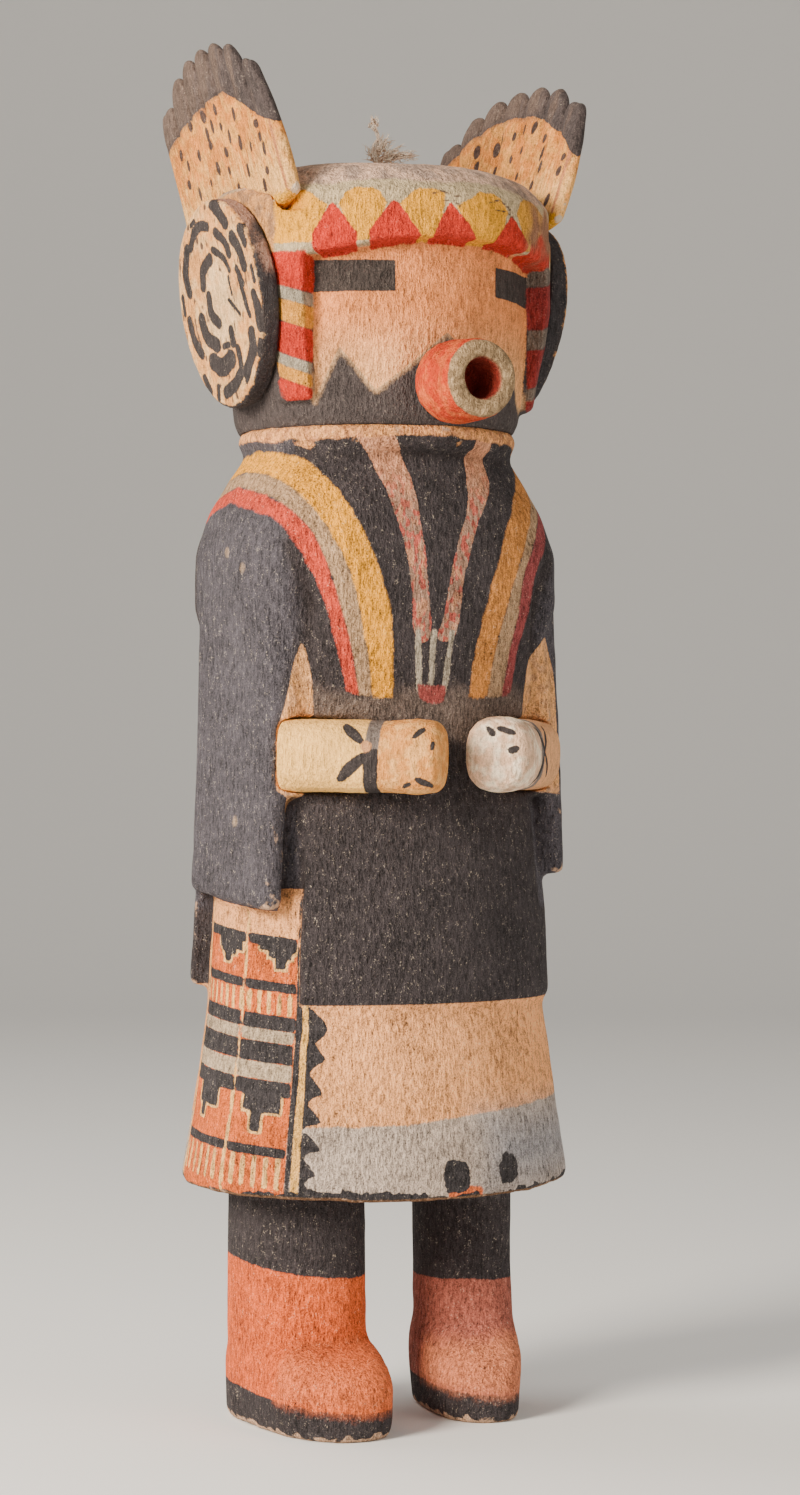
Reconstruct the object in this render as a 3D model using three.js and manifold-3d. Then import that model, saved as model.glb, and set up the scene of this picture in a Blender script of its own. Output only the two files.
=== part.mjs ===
// Carved kachina doll with a case mask, snout, ear discs and feather fans, in millimetres.
// +Z is up, the figure faces -Y and its right side is at -X; its soles stand on Z = 0.
import * as THREE from 'three';
import { mergeVertices } from 'three/addons/utils/BufferGeometryUtils.js';
import Module from 'manifold-3d';

const wasm = await Module();
wasm.setup();

// ---- driving dimensions ----
const GAP = 0.3; // clearance between pieces that touch
const SIDES = 36; // facets round the robe, kilt and head

const CHIN_Z = 217.2;
const BAND_LOW_Z = 255.5;
const BAND_TOP_Z = 266;
const CROWN_Z = 274.5;
const FACE_RADIUS = 33.4;
const CHIN_RADIUS = 31.5;
const BAND_RADIUS = 38.5;
const BAND_ARCH = 3.2; // how far the band's lower edge droops beside the face
const BAND_ARCH_END = 54.6; // degrees from the front
const STRIP_ANGLE = { right: 53.8, left: 50.6 }; // degrees from the front to a side strip's inner edge
const STRIP_END_ANGLE = 74;
const STRIP_LOW_Z = 221.5;

const COLLAR_RADIUS = 30.9;
const COLLAR_Z = 213;

const EAR_THICK = 4.8;
const EAR_FACE_X = 38.7; // outer face of an ear disc at its centre
const EAR_Y = 1;
const EAR_Z = 243.7;
const EAR_HALF_DEPTH = 19;
const EAR_HALF_HEIGHT = 22.6;
const EAR_LEAN = THREE.MathUtils.degToRad(8.5); // top outward

const FAN_THICK = 3.2;
const FAN_FEATHERS = 7;
const FAN_BASE_Z = 262;
const FAN_FRONT_U = 23.2; // depth coordinate u runs forward from the head's axis
const FAN_REAR_U = -27.7;
const FAN_TIP_FRONT_U = 22.4;
const FAN_TIP_REAR_U = -33.4;
const FAN_TIP_HEIGHTS = [293, 297.6, 299.2, 299.1, 298, 295.1, 289.1];
const FAN_LOBE = 4.2; // how far a feather's tip stands above its valleys
const LEFT_FAN_DROP = 1.9;

const SNOUT_RADIUS = 8.7;
const SNOUT_BORE_RADIUS = 4.3;
const SNOUT_TIP_Y = -46;
const SNOUT_LENGTH = 16.2; // with the part that is hollowed to the face
const SNOUT_Z = 225.3;
const SNOUT_BORE_DEPTH = 9;

// the tunic's flaps: side edges in degrees from the front, positive towards the left side
const FRONT_FLAP = { from: -56, to: 80, growth: 1, shift: 0, hem: 92 };
const BACK_FLAP = { from: 103, to: 253, growth: 1.045, shift: -1, hem: 95.2 };
const KILT_HEM_Z = 50.3;
const KILT_HEM_RISE = 1.8;

const SLEEVE_Y = -3;
// a sleeve's hem rises towards the back by its tilt
const SLEEVE_HEM = { right: { z: 114.2, tilt: 0.133 }, left: { z: 120.4, tilt: 0.1 } };

const ELBOW = { right: new THREE.Vector3(-31.6, -15.4, 145.6), left: new THREE.Vector3(30.8, -15.4, 145.6) };
const FIST = { right: new THREE.Vector3(-5.5, -39, 145.3), left: new THREE.Vector3(7.3, -38.4, 145.9) };
const FOREARM_HALF_WIDTH = 7.2;
const FOREARM_HALF_HEIGHT = 8;

const PLUME_HOLE_RADIUS = 1.4;
const PLUME_HOLE_DEPTH = 4;

// ---- finishes ----
const paint = (color, roughness = 0.85) => new THREE.MeshStandardMaterial({ color, roughness, metalness: 0 });
const MATERIALS = {
  robe: paint(0x3a3a44),
  snout: paint(0xd4643c),
  ear: paint(0xe0b478),
  fan: paint(0xd2a060),
  skin: paint(0xe0bd80),
  down: paint(0xc8b8a8, 0.95),
};

// ---- geometry helpers ----
function toSolid(geometry) {
  const bare = geometry.clone();
  bare.deleteAttribute('normal');
  bare.deleteAttribute('uv');
  const merged = mergeVertices(bare, 1e-4);
  return new wasm.Manifold(new wasm.Mesh({
    numProp: 3,
    vertProperties: new Float32Array(merged.attributes.position.array),
    triVerts: new Uint32Array(merged.index.array),
  }));
}

function toGeometry(solid) {
  const mesh = solid.getMesh();
  const geometry = new THREE.BufferGeometry();
  geometry.setAttribute('position', new THREE.BufferAttribute(mesh.vertProperties, 3));
  geometry.setIndex(new THREE.BufferAttribute(mesh.triVerts, 1));
  geometry.computeVertexNormals();
  return geometry;
}

// Rings of points, listed from the bottom up and each counterclockwise from above, become a closed skin.
// A thin strip's rings run out along one face and back along the other, and its ends are closed across.
function skin(rings, strip = false) {
  const count = rings[0].length;
  const points = rings.flat();
  const index = [];
  const centre = (ring) => ring.reduce((sum, p) => sum.add(p), new THREE.Vector3()).divideScalar(count);
  for (let level = 0; level + 1 < rings.length; level++) {
    for (let i = 0; i < count; i++) {
      const a = level * count + i;
      const b = level * count + ((i + 1) % count);
      index.push(a, b, b + count, a, b + count, a + count);
    }
  }
  const last = (rings.length - 1) * count;
  if (strip) {
    for (let i = 0; i + 1 < count / 2; i++) {
      const a = i + 1;
      const b = count - 1 - i;
      index.push(i, b, a, a, b, b - 1);
      index.push(last + i, last + a, last + b, last + a, last + b - 1, last + b);
    }
  } else {
    const bottom = points.push(centre(rings[0])) - 1;
    const top = points.push(centre(rings[rings.length - 1])) - 1;
    for (let i = 0; i < count; i++) {
      const j = (i + 1) % count;
      index.push(bottom, j, i, top, last + i, last + j);
    }
  }
  const geometry = new THREE.BufferGeometry().setFromPoints(points);
  geometry.setIndex(index);
  return geometry;
}

// One superellipse ring. a is the half width, b the half depth in front, back the half depth behind;
// the points are spread so that a long thin ring still has its corners.
function ring(section, sides) {
  const { z, x = 0, y = 0, a, b, back = b, n = 2, turn = 0, rise = () => 0 } = section;
  const points = [];
  for (let i = 0; i < sides; i++) {
    const share = (i / sides) * Math.PI * 2;
    const depth = Math.sin(share) < 0 ? b : back;
    const angle = Math.atan2(depth * Math.sin(share), a * Math.cos(share));
    const c = Math.cos(angle);
    const s = Math.sin(angle);
    const radius = ((Math.abs(c) / a) ** n + (Math.abs(s) / depth) ** n) ** (-1 / n);
    const px = radius * c;
    const py = radius * s;
    const wx = x + px * Math.cos(turn) - py * Math.sin(turn);
    const wy = y + px * Math.sin(turn) + py * Math.cos(turn);
    points.push(new THREE.Vector3(wx, wy, z + rise(wx, wy)));
  }
  return points;
}

const loft = (sections, sides) => skin(sections.map((section) => ring(section, sides)));

function mirrored(geometry) {
  const copy = geometry.clone().scale(-1, 1, 1);
  const index = copy.index.array;
  for (let i = 0; i < index.length; i += 3) {
    [index[i], index[i + 1]] = [index[i + 1], index[i]];
  }
  return copy;
}

// Angles round the figure are in degrees from the front, positive towards its left side.
const around = (degrees, radius, z) => {
  const angle = THREE.MathUtils.degToRad(degrees);
  return new THREE.Vector3(radius * Math.sin(angle), -radius * Math.cos(angle), z);
};

// A wedge of the space round the axis, between two angles.
function wedge(from, to, radius, z0, z1) {
  const shape = new THREE.Shape();
  shape.moveTo(0, 0);
  const steps = Math.ceil((to - from) / 15);
  for (let i = 0; i <= steps; i++) {
    const p = around(THREE.MathUtils.lerp(from, to, i / steps), radius, 0);
    shape.lineTo(p.x, p.y);
  }
  const geometry = new THREE.ExtrudeGeometry(shape, { depth: z1 - z0, bevelEnabled: false });
  return toSolid(geometry.translate(0, 0, z0));
}

// ---- head ----
function headCore() {
  const profile = [
    [0, CHIN_Z - 6],
    [CHIN_RADIUS - 2, CHIN_Z - 6],
    [CHIN_RADIUS - 0.8, CHIN_Z],
    [CHIN_RADIUS, CHIN_Z + 1.6],
    [CHIN_RADIUS + 0.7, CHIN_Z + 10],
    [FACE_RADIUS - 0.3, EAR_Z - 6],
    [FACE_RADIUS, BAND_TOP_Z],
    [0, BAND_TOP_Z],
  ];
  const points = profile.map(([radius, z]) => new THREE.Vector2(radius, z));
  return toSolid(new THREE.LatheGeometry(points, SIDES).rotateX(Math.PI / 2));
}

// The brow band goes right round; its lower edge arches over the face and its top rolls into the crown.
function browBand() {
  const droop = (x, y) => {
    const angle = THREE.MathUtils.radToDeg(Math.abs(Math.atan2(x, -y)));
    return -BAND_ARCH * THREE.MathUtils.smoothstep(angle, 12, BAND_ARCH_END);
  };
  const round = (radius, z, rise) => ({ z, a: radius, b: radius, rise });
  return toSolid(loft([
    round(FACE_RADIUS - 4, BAND_LOW_Z, droop),
    round(BAND_RADIUS - 0.7, BAND_LOW_Z, droop),
    round(BAND_RADIUS, BAND_LOW_Z + 1.2, droop),
    round(BAND_RADIUS, BAND_TOP_Z - 0.8),
    round(BAND_RADIUS - 2.2, BAND_TOP_Z + 2),
    round(BAND_RADIUS - 5.6, BAND_TOP_Z + 5),
    round(BAND_RADIUS - 10, CROWN_Z - 1.9),
    round(BAND_RADIUS - 22, CROWN_Z - 0.5),
    round(3, CROWN_Z),
  ], SIDES));
}

// A raised strip down one side of the face, thinner towards its foot.
function sideStrip(side) {
  const levels = [
    [FACE_RADIUS, STRIP_LOW_Z],
    [34.6, STRIP_LOW_Z + 0.6],
    [35.6, 228],
    [37.4, 236],
    [BAND_RADIUS - 0.1, 244],
    [BAND_RADIUS, BAND_LOW_Z + 2],
  ];
  const steps = 5;
  const start = side < 0 ? STRIP_ANGLE.right : STRIP_ANGLE.left;
  const innerRadius = FACE_RADIUS - 5;
  const rings = levels.map(([radius, z]) => {
    const outer = [];
    const inner = [];
    for (let i = 0; i <= steps; i++) {
      const angle = THREE.MathUtils.lerp(start, STRIP_END_ANGLE, i / steps);
      outer.push(around(angle, radius, z));
      inner.unshift(around(angle, innerRadius, z));
    }
    return [...outer, ...inner];
  });
  const strip = skin(rings, true);
  return toSolid(side > 0 ? strip : mirrored(strip));
}

// The head's sides are shaved flat where the ear discs lie against them.
function earFlat(side) {
  const cutter = new THREE.BoxGeometry(30, 100, 90);
  cutter.translate(15, 0, 0);
  cutter.rotateY(EAR_LEAN);
  cutter.translate(EAR_FACE_X - EAR_THICK - GAP, 0, EAR_Z);
  return toSolid(side > 0 ? cutter : mirrored(cutter));
}

// ---- feather fans ----
const fanMidX = (u, z) => 32.5 + 0.267 * (z - 265) + u * (0.007 + 0.0026 * (z - 265));

function fanHeight(s) {
  const feather = Math.min(Math.floor(s * FAN_FEATHERS), FAN_FEATHERS - 1);
  const across = (s * FAN_FEATHERS - feather) * 2 - 1;
  const next = FAN_TIP_HEIGHTS[Math.min(Math.max(feather + Math.sign(across), 0), FAN_FEATHERS - 1)];
  const tip = THREE.MathUtils.lerp(FAN_TIP_HEIGHTS[feather], next, Math.abs(across) / 2);
  const edge = s === 0 || s === 1 ? FAN_LOBE * 1.3 : 0;
  return tip - FAN_LOBE * (1 - Math.sqrt(1 - 0.92 * across * across)) - edge;
}

// Half the fan's thickness: each feather is a finger, with grooves between them that fade towards the base;
// the fan thins towards its tips and its two edges.
function fanHalfThick(s, t) {
  const across = (s * FAN_FEATHERS - Math.floor(Math.min(s * FAN_FEATHERS, FAN_FEATHERS - 0.001))) * 2 - 1;
  const groove = 0.5 * across * across * THREE.MathUtils.smoothstep(t, 0.25, 0.8);
  const tipTaper = 0.4 * THREE.MathUtils.smoothstep(t, 0.75, 1);
  const edgeTaper = 0.55 * (1 - THREE.MathUtils.smoothstep(Math.min(s, 1 - s), 0, 0.08));
  return (FAN_THICK / 2) * (1 - groove) * (1 - tipTaper) * (1 - edgeTaper);
}

function featherFan(side) {
  const columns = FAN_FEATHERS * 4;
  const rows = [0, 0.3, 0.6, 0.82, 0.94, 1];
  const rings = rows.map((t) => {
    const outer = [];
    const inner = [];
    for (let i = 0; i <= columns; i++) {
      const s = i / columns;
      const z = THREE.MathUtils.lerp(FAN_BASE_Z, fanHeight(s), t);
      const spread = t ** 1.6;
      const front = THREE.MathUtils.lerp(FAN_FRONT_U, FAN_TIP_FRONT_U, spread) + 1.6 * Math.sin(Math.PI * t);
      const rear = THREE.MathUtils.lerp(FAN_REAR_U, FAN_TIP_REAR_U, spread);
      const u = THREE.MathUtils.lerp(front, rear, s);
      const half = fanHalfThick(s, t);
      outer.push(new THREE.Vector3(fanMidX(u, z) + half, -u, z));
      inner.unshift(new THREE.Vector3(fanMidX(u, z) - half, -u, z));
    }
    return [...outer, ...inner];
  });
  const fan = skin(rings, true);
  return side > 0 ? fan.translate(0, 0, -LEFT_FAN_DROP) : mirrored(fan);
}

// The slot in the crown that holds a fan's foot.
function fanSlot(side) {
  const low = FAN_BASE_Z - GAP;
  const half = FAN_THICK / 2 + GAP;
  const margin = GAP + 1.6;
  const columns = 10;
  const rings = [low, low + 4, low + 8, low + 12, low + 16].map((z) => {
    const outer = [];
    const inner = [];
    for (let i = 0; i <= columns; i++) {
      const u = THREE.MathUtils.lerp(FAN_FRONT_U + margin, FAN_REAR_U - margin, i / columns);
      outer.push(new THREE.Vector3(fanMidX(u, z) + half, -u, z));
      inner.unshift(new THREE.Vector3(fanMidX(u, z) - half, -u, z));
    }
    return [...outer, ...inner];
  });
  const slot = skin(rings, true);
  return toSolid(side > 0 ? slot.translate(0, 0, -LEFT_FAN_DROP) : mirrored(slot));
}

// ---- body ----
function collar() {
  const round = (radius, z) => ({ z, a: radius, b: radius });
  return toSolid(loft([
    round(COLLAR_RADIUS - 5, COLLAR_Z - 2.5),
    round(COLLAR_RADIUS - 0.8, COLLAR_Z),
    round(COLLAR_RADIUS, COLLAR_Z + 1.4),
    round(COLLAR_RADIUS - 0.5, CHIN_Z - 1),
    round(COLLAR_RADIUS - 5, CHIN_Z + 2),
  ], SIDES));
}

function torso() {
  return toSolid(loft([
    { z: 106, a: 36, b: 26.4, back: 28.6 },
    { z: 134, a: 36, b: 26.8, back: 29.4, n: 2.1 },
    { z: 156, a: 35.8, b: 27.2, back: 29.8, n: 2.3 },
    { z: 168, a: 37.2, b: 28, back: 30.1, n: 2.5 },
    { z: 178, a: 39.3, b: 28.8, back: 30.3, n: 2.9 },
    { z: 190, a: 39.4, b: 28.8, back: 30, n: 2.8 },
    { z: 199, a: 37, b: 27.9, back: 29, n: 2.5 },
    { z: 206.5, a: 32.8, b: 26.8, back: 27.5, n: 2.2 },
    { z: 214, a: 27.4, b: 25.4, back: 25.6 },
  ], SIDES));
}

// The crease between an arm and the chest, open below and fading out over the shoulder.
function armCrease(side) {
  const levels = [
    [160, [-35, -19.6], [-29, -18.6], [-25.4, -23.6]],
    [169, [-34.6, -19.6], [-28, -18.8], [-24.8, -25.4]],
    [178, [-34, -20], [-27.6, -19.6], [-24.6, -26]],
    [186, [-33.6, -21], [-29, -21.2], [-26, -26]],
    [193, [-33, -23.4], [-31, -23.8], [-29, -26]],
  ];
  const rings = levels.map(([z, arm, fold, chest]) => {
    const corners = [arm, [-34, -34], chest, fold];
    return corners.map(([x, y]) => new THREE.Vector3(x, y, z));
  });
  const crease = skin(rings);
  return toSolid(side < 0 ? crease : mirrored(crease));
}

// The tunic hangs in a front flap and a back flap over the kilt.
function tunicFlap({ from, to, growth, shift, hem }) {
  const level = (z, a, b, n = 2) => ({ z, x: shift, a: a * growth, b: b * growth, n });
  const skirt = toSolid(loft([
    level(hem, 40.2, 30.2),
    level(hem + 1, 40.8, 30.7),
    level(112, 39.9, 29.9),
    level(134, 37.2, 28),
    level(148, 33, 25),
  ], SIDES));
  return skirt.intersect(wedge(from, to, 90, hem - 5, 170));
}

function kilt() {
  const rise = (x, y) => KILT_HEM_RISE * (1 + y / Math.hypot(x, y));
  return toSolid(loft([
    { z: KILT_HEM_Z, a: 44.4, b: 33.4, back: 34.6, rise },
    { z: KILT_HEM_Z + 1.2, a: 45.2, b: 34, back: 35.2, rise },
    { z: 70, a: 42.3, b: 31.8, back: 33 },
    { z: 90, a: 39.3, b: 29.5, back: 30.6 },
    { z: 114, a: 37.5, b: 28, back: 29 },
    { z: 122, a: 33, b: 24, back: 25 },
  ], SIDES));
}

// A flat slab down each side: the right one flares outwards towards the back.
function sleevePanel(side) {
  const hem = side < 0 ? SLEEVE_HEM.right : SLEEVE_HEM.left;
  const rise = (x, y) => (y - SLEEVE_Y) * hem.tilt;
  const right = [
    { z: hem.z, x: -36.9, a: 2.3, b: 14.8, n: 5, turn: 0.11, rise },
    { z: hem.z + 1.2, x: -36.9, a: 2.8, b: 15.4, n: 6, turn: 0.11, rise },
    { z: 140, x: -35.6, a: 2.8, b: 15.4, n: 6, turn: 0.12 },
    { z: 155, x: -35.5, a: 2.8, b: 15.4, n: 5, turn: 0.11 },
    { z: 168, x: -35.2, a: 2.9, b: 15.2, n: 4, turn: 0.12 },
    { z: 177, x: -35.4, a: 3.6, b: 14.8, n: 3.4, turn: 0.08 },
    { z: 187, x: -35.2, a: 3.8, b: 11.5, n: 2.8 },
    { z: 197, x: -32, a: 3, b: 6, n: 2.6 },
  ];
  const left = [
    { z: hem.z, x: 36.4, a: 2.7, b: 14.2, n: 5, rise },
    { z: hem.z + 1.2, x: 36.4, a: 3.1, b: 14.8, n: 5, rise },
    { z: 140, x: 35.8, a: 3.1, b: 14.4, n: 5 },
    { z: 166, x: 35.6, a: 3.1, b: 13, n: 4 },
    { z: 177, x: 35.6, a: 3.3, b: 12.4, n: 3 },
    { z: 187, x: 34.6, a: 3.6, b: 9, n: 2.8 },
    { z: 197, x: 32, a: 3, b: 6, n: 2.6 },
  ];
  return toSolid(loft((side < 0 ? right : left).map((level) => ({ y: SLEEVE_Y, ...level })), 20));
}

// The upper arm shows as a narrow wedge between the sleeve and the chest.
function upperArm(side) {
  return toSolid(loft([
    { z: 137, x: side * 31, y: -11.8, a: 4.6, b: 8.4, n: 3 },
    { z: 152, x: side * 31.2, y: -11.8, a: 4.3, b: 8.4, n: 3 },
    { z: 164, x: side * 32, y: -11.8, a: 3, b: 7.8, n: 2.6 },
    { z: 172, x: side * 33.4, y: -11.6, a: 1.6, b: 5.6, n: 2.2 },
  ], 12));
}

function leg(side) {
  const right = [
    { z: 0, x: -20, y: -5, a: 12.4, b: 25.2, n: 2.5 },
    { z: 1, x: -20, y: -5, a: 13, b: 26, n: 2.5 },
    { z: 10, x: -20, y: -5, a: 13.2, b: 26, n: 2.6 },
    { z: 13.5, x: -19.8, y: -3.8, a: 13.3, b: 24.6, n: 2.5 },
    { z: 16.5, x: -19.4, y: -1.2, a: 13.5, b: 21.6, n: 2.3 },
    { z: 18.6, x: -18.8, y: 2.4, a: 13.8, b: 17.8, n: 2.3 },
    { z: 34, x: -18.6, y: 3, a: 13.9, b: 17.3, n: 2.3 },
    { z: 60, x: -18.6, y: 3, a: 13.8, b: 17, n: 2.2 },
  ];
  const left = [
    { z: 0, x: 18.8, y: -6.6, a: 9.2, b: 19.2, n: 2.5, turn: -0.2 },
    { z: 1, x: 18.8, y: -6.6, a: 9.7, b: 19.8, n: 2.5, turn: -0.2 },
    { z: 8, x: 18.9, y: -6.3, a: 10.4, b: 19.6, n: 2.4, turn: -0.18 },
    { z: 12, x: 19.5, y: -5.2, a: 10.6, b: 18.2, n: 2.4, turn: -0.14 },
    { z: 16, x: 20.4, y: -3.2, a: 10.6, b: 15.8, n: 2.3, turn: -0.08 },
    { z: 20, x: 21.2, y: -1.6, a: 10, b: 13.2, n: 2.2 },
    { z: 32, x: 21.3, y: -1, a: 9.9, b: 12.6, n: 2.2 },
    { z: 60, x: 21.3, y: -1, a: 10.2, b: 13, n: 2.2 },
  ];
  return toSolid(loft(side < 0 ? right : left, 24));
}

function plumeHole() {
  const depth = PLUME_HOLE_DEPTH + 4;
  const hole = new THREE.CylinderGeometry(PLUME_HOLE_RADIUS, PLUME_HOLE_RADIUS, depth, 12);
  return toSolid(hole.rotateX(Math.PI / 2).translate(0, 0, CROWN_Z - PLUME_HOLE_DEPTH + depth / 2));
}

// ---- forearms ----
// A rounded square bar from the elbow to the knuckles, grown by the given clearance.
function forearm(side, clearance) {
  const fist = side < 0 ? FIST.right : FIST.left;
  const elbow = side < 0 ? ELBOW.right : ELBOW.left;
  const along = fist.clone().sub(elbow);
  const length = along.length();
  const stations = [
    [-clearance, 0.9],
    [0.5, 0.97],
    [length * 0.5, 0.98],
    [length * 0.64, 0.95],
    [length * 0.84, 1.02],
    [length - 1.6, 0.95],
    [length - 0.3 + clearance, 0.78],
    [length + clearance, 0.6],
  ];
  const bar = loft(stations.map(([z, scale]) => ({
    z,
    a: FOREARM_HALF_WIDTH * scale + clearance,
    b: FOREARM_HALF_HEIGHT * scale + clearance,
    n: 2.8,
  })), 20);
  const forward = along.normalize();
  const across = new THREE.Vector3(0, 0, 1).cross(forward).normalize();
  const up = forward.clone().cross(across);
  const place = new THREE.Matrix4().makeBasis(across, up, forward).setPosition(elbow);
  return toSolid(bar.applyMatrix4(place));
}

// ---- separate pieces of the head ----
function earDisc() {
  const outline = new THREE.Shape();
  const count = 36;
  for (let i = 0; i < count; i++) {
    const angle = (i / count) * Math.PI * 2;
    const egg = 1 + 0.06 * Math.sin(angle); // fuller above, narrower below
    const u = EAR_HALF_DEPTH * Math.cos(angle) * egg;
    const v = EAR_HALF_HEIGHT * Math.sin(angle);
    if (i === 0) outline.moveTo(u, v);
    else outline.lineTo(u, v);
  }
  const bevel = 0.5;
  const disc = new THREE.ExtrudeGeometry(outline, {
    depth: EAR_THICK - 2 * bevel,
    bevelThickness: bevel,
    bevelSize: bevel,
    bevelOffset: -bevel,
    bevelSegments: 1,
  });
  // depth of the extrusion runs along X, the outline's width along -Y
  disc.translate(0, 0, -(EAR_THICK - 2 * bevel) / 2);
  disc.rotateX(Math.PI / 2);
  disc.rotateZ(-Math.PI / 2);
  return disc;
}

function snout() {
  const profile = [
    [0, 0],
    [SNOUT_RADIUS - 0.3, 0],
    [SNOUT_RADIUS + 0.4, 5],
    [SNOUT_RADIUS, SNOUT_LENGTH - 3],
    [SNOUT_RADIUS - 0.5, SNOUT_LENGTH - 0.6],
    [SNOUT_RADIUS - 1.3, SNOUT_LENGTH],
    [SNOUT_BORE_RADIUS + 0.6, SNOUT_LENGTH],
    [SNOUT_BORE_RADIUS, SNOUT_LENGTH - 0.8],
    [SNOUT_BORE_RADIUS - 0.5, SNOUT_LENGTH - SNOUT_BORE_DEPTH],
    [0, SNOUT_LENGTH - SNOUT_BORE_DEPTH - 0.8],
  ];
  const points = profile.map(([radius, z]) => new THREE.Vector2(radius, z));
  // the lathe's axis is turned to run along -Y
  const tube = new THREE.LatheGeometry(points, 24).rotateX(Math.PI);
  tube.translate(0, SNOUT_TIP_Y + SNOUT_LENGTH, SNOUT_Z);
  const face = new THREE.CylinderGeometry(FACE_RADIUS + GAP, CHIN_RADIUS + GAP + 0.2, 60, 72);
  face.rotateX(Math.PI / 2).translate(0, 0, 233);
  return toSolid(tube).subtract(toSolid(face));
}

// A tied pinch of down on a quill: a ragged clump, two bent stems and a frayed tip.
function crownPlume() {
  const blob = (x, y, z, a, b, c, turn) => {
    const ball = new THREE.IcosahedronGeometry(1, 0).scale(a, b, c);
    return toSolid(ball.rotateY(turn).translate(x, y, z));
  };
  const length = 13;
  const quill = new THREE.CylinderGeometry(0.8, PLUME_HOLE_RADIUS - GAP, length, 10).rotateX(Math.PI / 2);
  let plume = toSolid(quill.translate(0, 0, CROWN_Z - PLUME_HOLE_DEPTH + GAP + length / 2));
  const barbs = 6;
  for (let i = 0; i < barbs; i++) {
    // the clump leans forward on the doll's left
    const along = -0.6 + 1.4 * i;
    const swing = 0.9 * Math.sin(i * 2.4);
    const x = 0.87 * along + 0.5 * swing;
    const y = -0.5 * along + 0.87 * swing;
    plume = plume.add(blob(x, y, CROWN_Z + 3.4 + 0.5 * Math.cos(i * 1.9), 2, 1.6, 1.5, 0.5 * swing));
  }
  for (const lean of [-0.5, 0.5]) {
    plume = plume.add(blob(lean, 0, CROWN_Z + 8.4, 0.55, 0.55, 2.8, lean * 0.35));
  }
  for (const [x, z, turn] of [[-1.3, 11, -0.7], [0.2, 11.6, 0], [1.5, 10.6, 0.8]]) {
    plume = plume.add(blob(x, 0, CROWN_Z + z, 0.8, 0.8, 1.6, turn));
  }
  return plume;
}

// ---- the carved figure, one root of wood ----
function carvedFigure() {
  let head = headCore().add(browBand()).add(sideStrip(1)).add(sideStrip(-1));
  for (const side of [-1, 1]) head = head.subtract(earFlat(side)).subtract(fanSlot(side));
  head = head.subtract(plumeHole());
  let body = torso().subtract(armCrease(-1)).subtract(armCrease(1)).add(collar()).add(kilt());
  body = body.add(tunicFlap(FRONT_FLAP)).add(tunicFlap(BACK_FLAP));
  for (const side of [-1, 1]) body = body.add(sleevePanel(side)).add(upperArm(side)).add(leg(side));
  for (const side of [-1, 1]) body = body.subtract(forearm(side, GAP));
  return body.add(head);
}

// ---- scene graph ----
const doll = new THREE.Group();

function addPiece(name, geometry, material) {
  const mesh = new THREE.Mesh(geometry, material);
  mesh.name = name;
  doll.add(mesh);
  return mesh;
}

addPiece('carved_figure', toGeometry(carvedFigure()), MATERIALS.robe);
addPiece('snout', toGeometry(snout()), MATERIALS.snout);
for (const [name, side] of [['right', -1], ['left', 1]]) {
  const ear = addPiece(`${name}_ear`, earDisc(), MATERIALS.ear);
  const middle = EAR_FACE_X - EAR_THICK / 2;
  ear.position.set(side * middle, EAR_Y, EAR_Z);
  ear.rotation.y = side * EAR_LEAN;
  addPiece(`${name}_feather_fan`, featherFan(side), MATERIALS.fan);
  addPiece(`${name}_forearm`, toGeometry(forearm(side, 0)), MATERIALS.skin);
}
addPiece('crown_plume', toGeometry(crownPlume()), MATERIALS.down);

// the origin goes to the bottom centre of the whole doll's box
doll.updateMatrixWorld(true);
const box = new THREE.Box3().setFromObject(doll);
doll.position.set(-(box.min.x + box.max.x) / 2, -(box.min.y + box.max.y) / 2, -box.min.z);

export default doll;
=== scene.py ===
# A carved and painted kachina doll. Each node of the frame gets a finer carved mesh of the same form,
# with its paint.
import itertools
import math

import bmesh
import bpy
import numpy as np
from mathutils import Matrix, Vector


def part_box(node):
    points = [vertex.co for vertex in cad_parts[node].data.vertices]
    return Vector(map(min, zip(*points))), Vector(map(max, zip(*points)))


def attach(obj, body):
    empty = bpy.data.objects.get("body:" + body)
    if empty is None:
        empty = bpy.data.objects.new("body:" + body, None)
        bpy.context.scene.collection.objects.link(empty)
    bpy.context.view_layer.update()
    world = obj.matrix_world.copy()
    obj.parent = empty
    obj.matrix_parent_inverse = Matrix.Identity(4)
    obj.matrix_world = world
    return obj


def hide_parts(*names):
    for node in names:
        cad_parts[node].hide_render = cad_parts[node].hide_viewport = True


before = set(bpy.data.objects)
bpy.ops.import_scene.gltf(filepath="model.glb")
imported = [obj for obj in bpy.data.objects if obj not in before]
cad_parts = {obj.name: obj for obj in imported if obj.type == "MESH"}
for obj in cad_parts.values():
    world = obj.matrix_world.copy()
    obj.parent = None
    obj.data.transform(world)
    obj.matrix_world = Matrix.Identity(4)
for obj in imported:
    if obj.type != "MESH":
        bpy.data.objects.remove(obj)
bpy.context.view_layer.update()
mm = 0.001
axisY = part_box("snout")[0].y + 46 * mm  # the doll's upright axis; the mouth's end is 46 mm before it
print("frame loaded")


# camera, floor and light

cameraSettings = {"turn": -30, "distance": 800, "height": 147.3, "side": 5.22, "lens": 86.8}
floorColor = (0.86, 0.86, 0.85)
worldColor, worldStrength = (0.95, 0.90, 0.84), 0.4
aimHeight = 140
lights = {
    # name: (turn, height, distance, size, watts, colour)
    "key": (-74, 430, 760, 320, 14.5, (1.0, 0.90, 0.77)),
    "fill": (30, 330, 900, 700, 3.0, (1.0, 0.93, 0.84)),
    "top": (-150, 900, 620, 600, 3.6, (1.0, 0.95, 0.88)),
}


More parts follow.
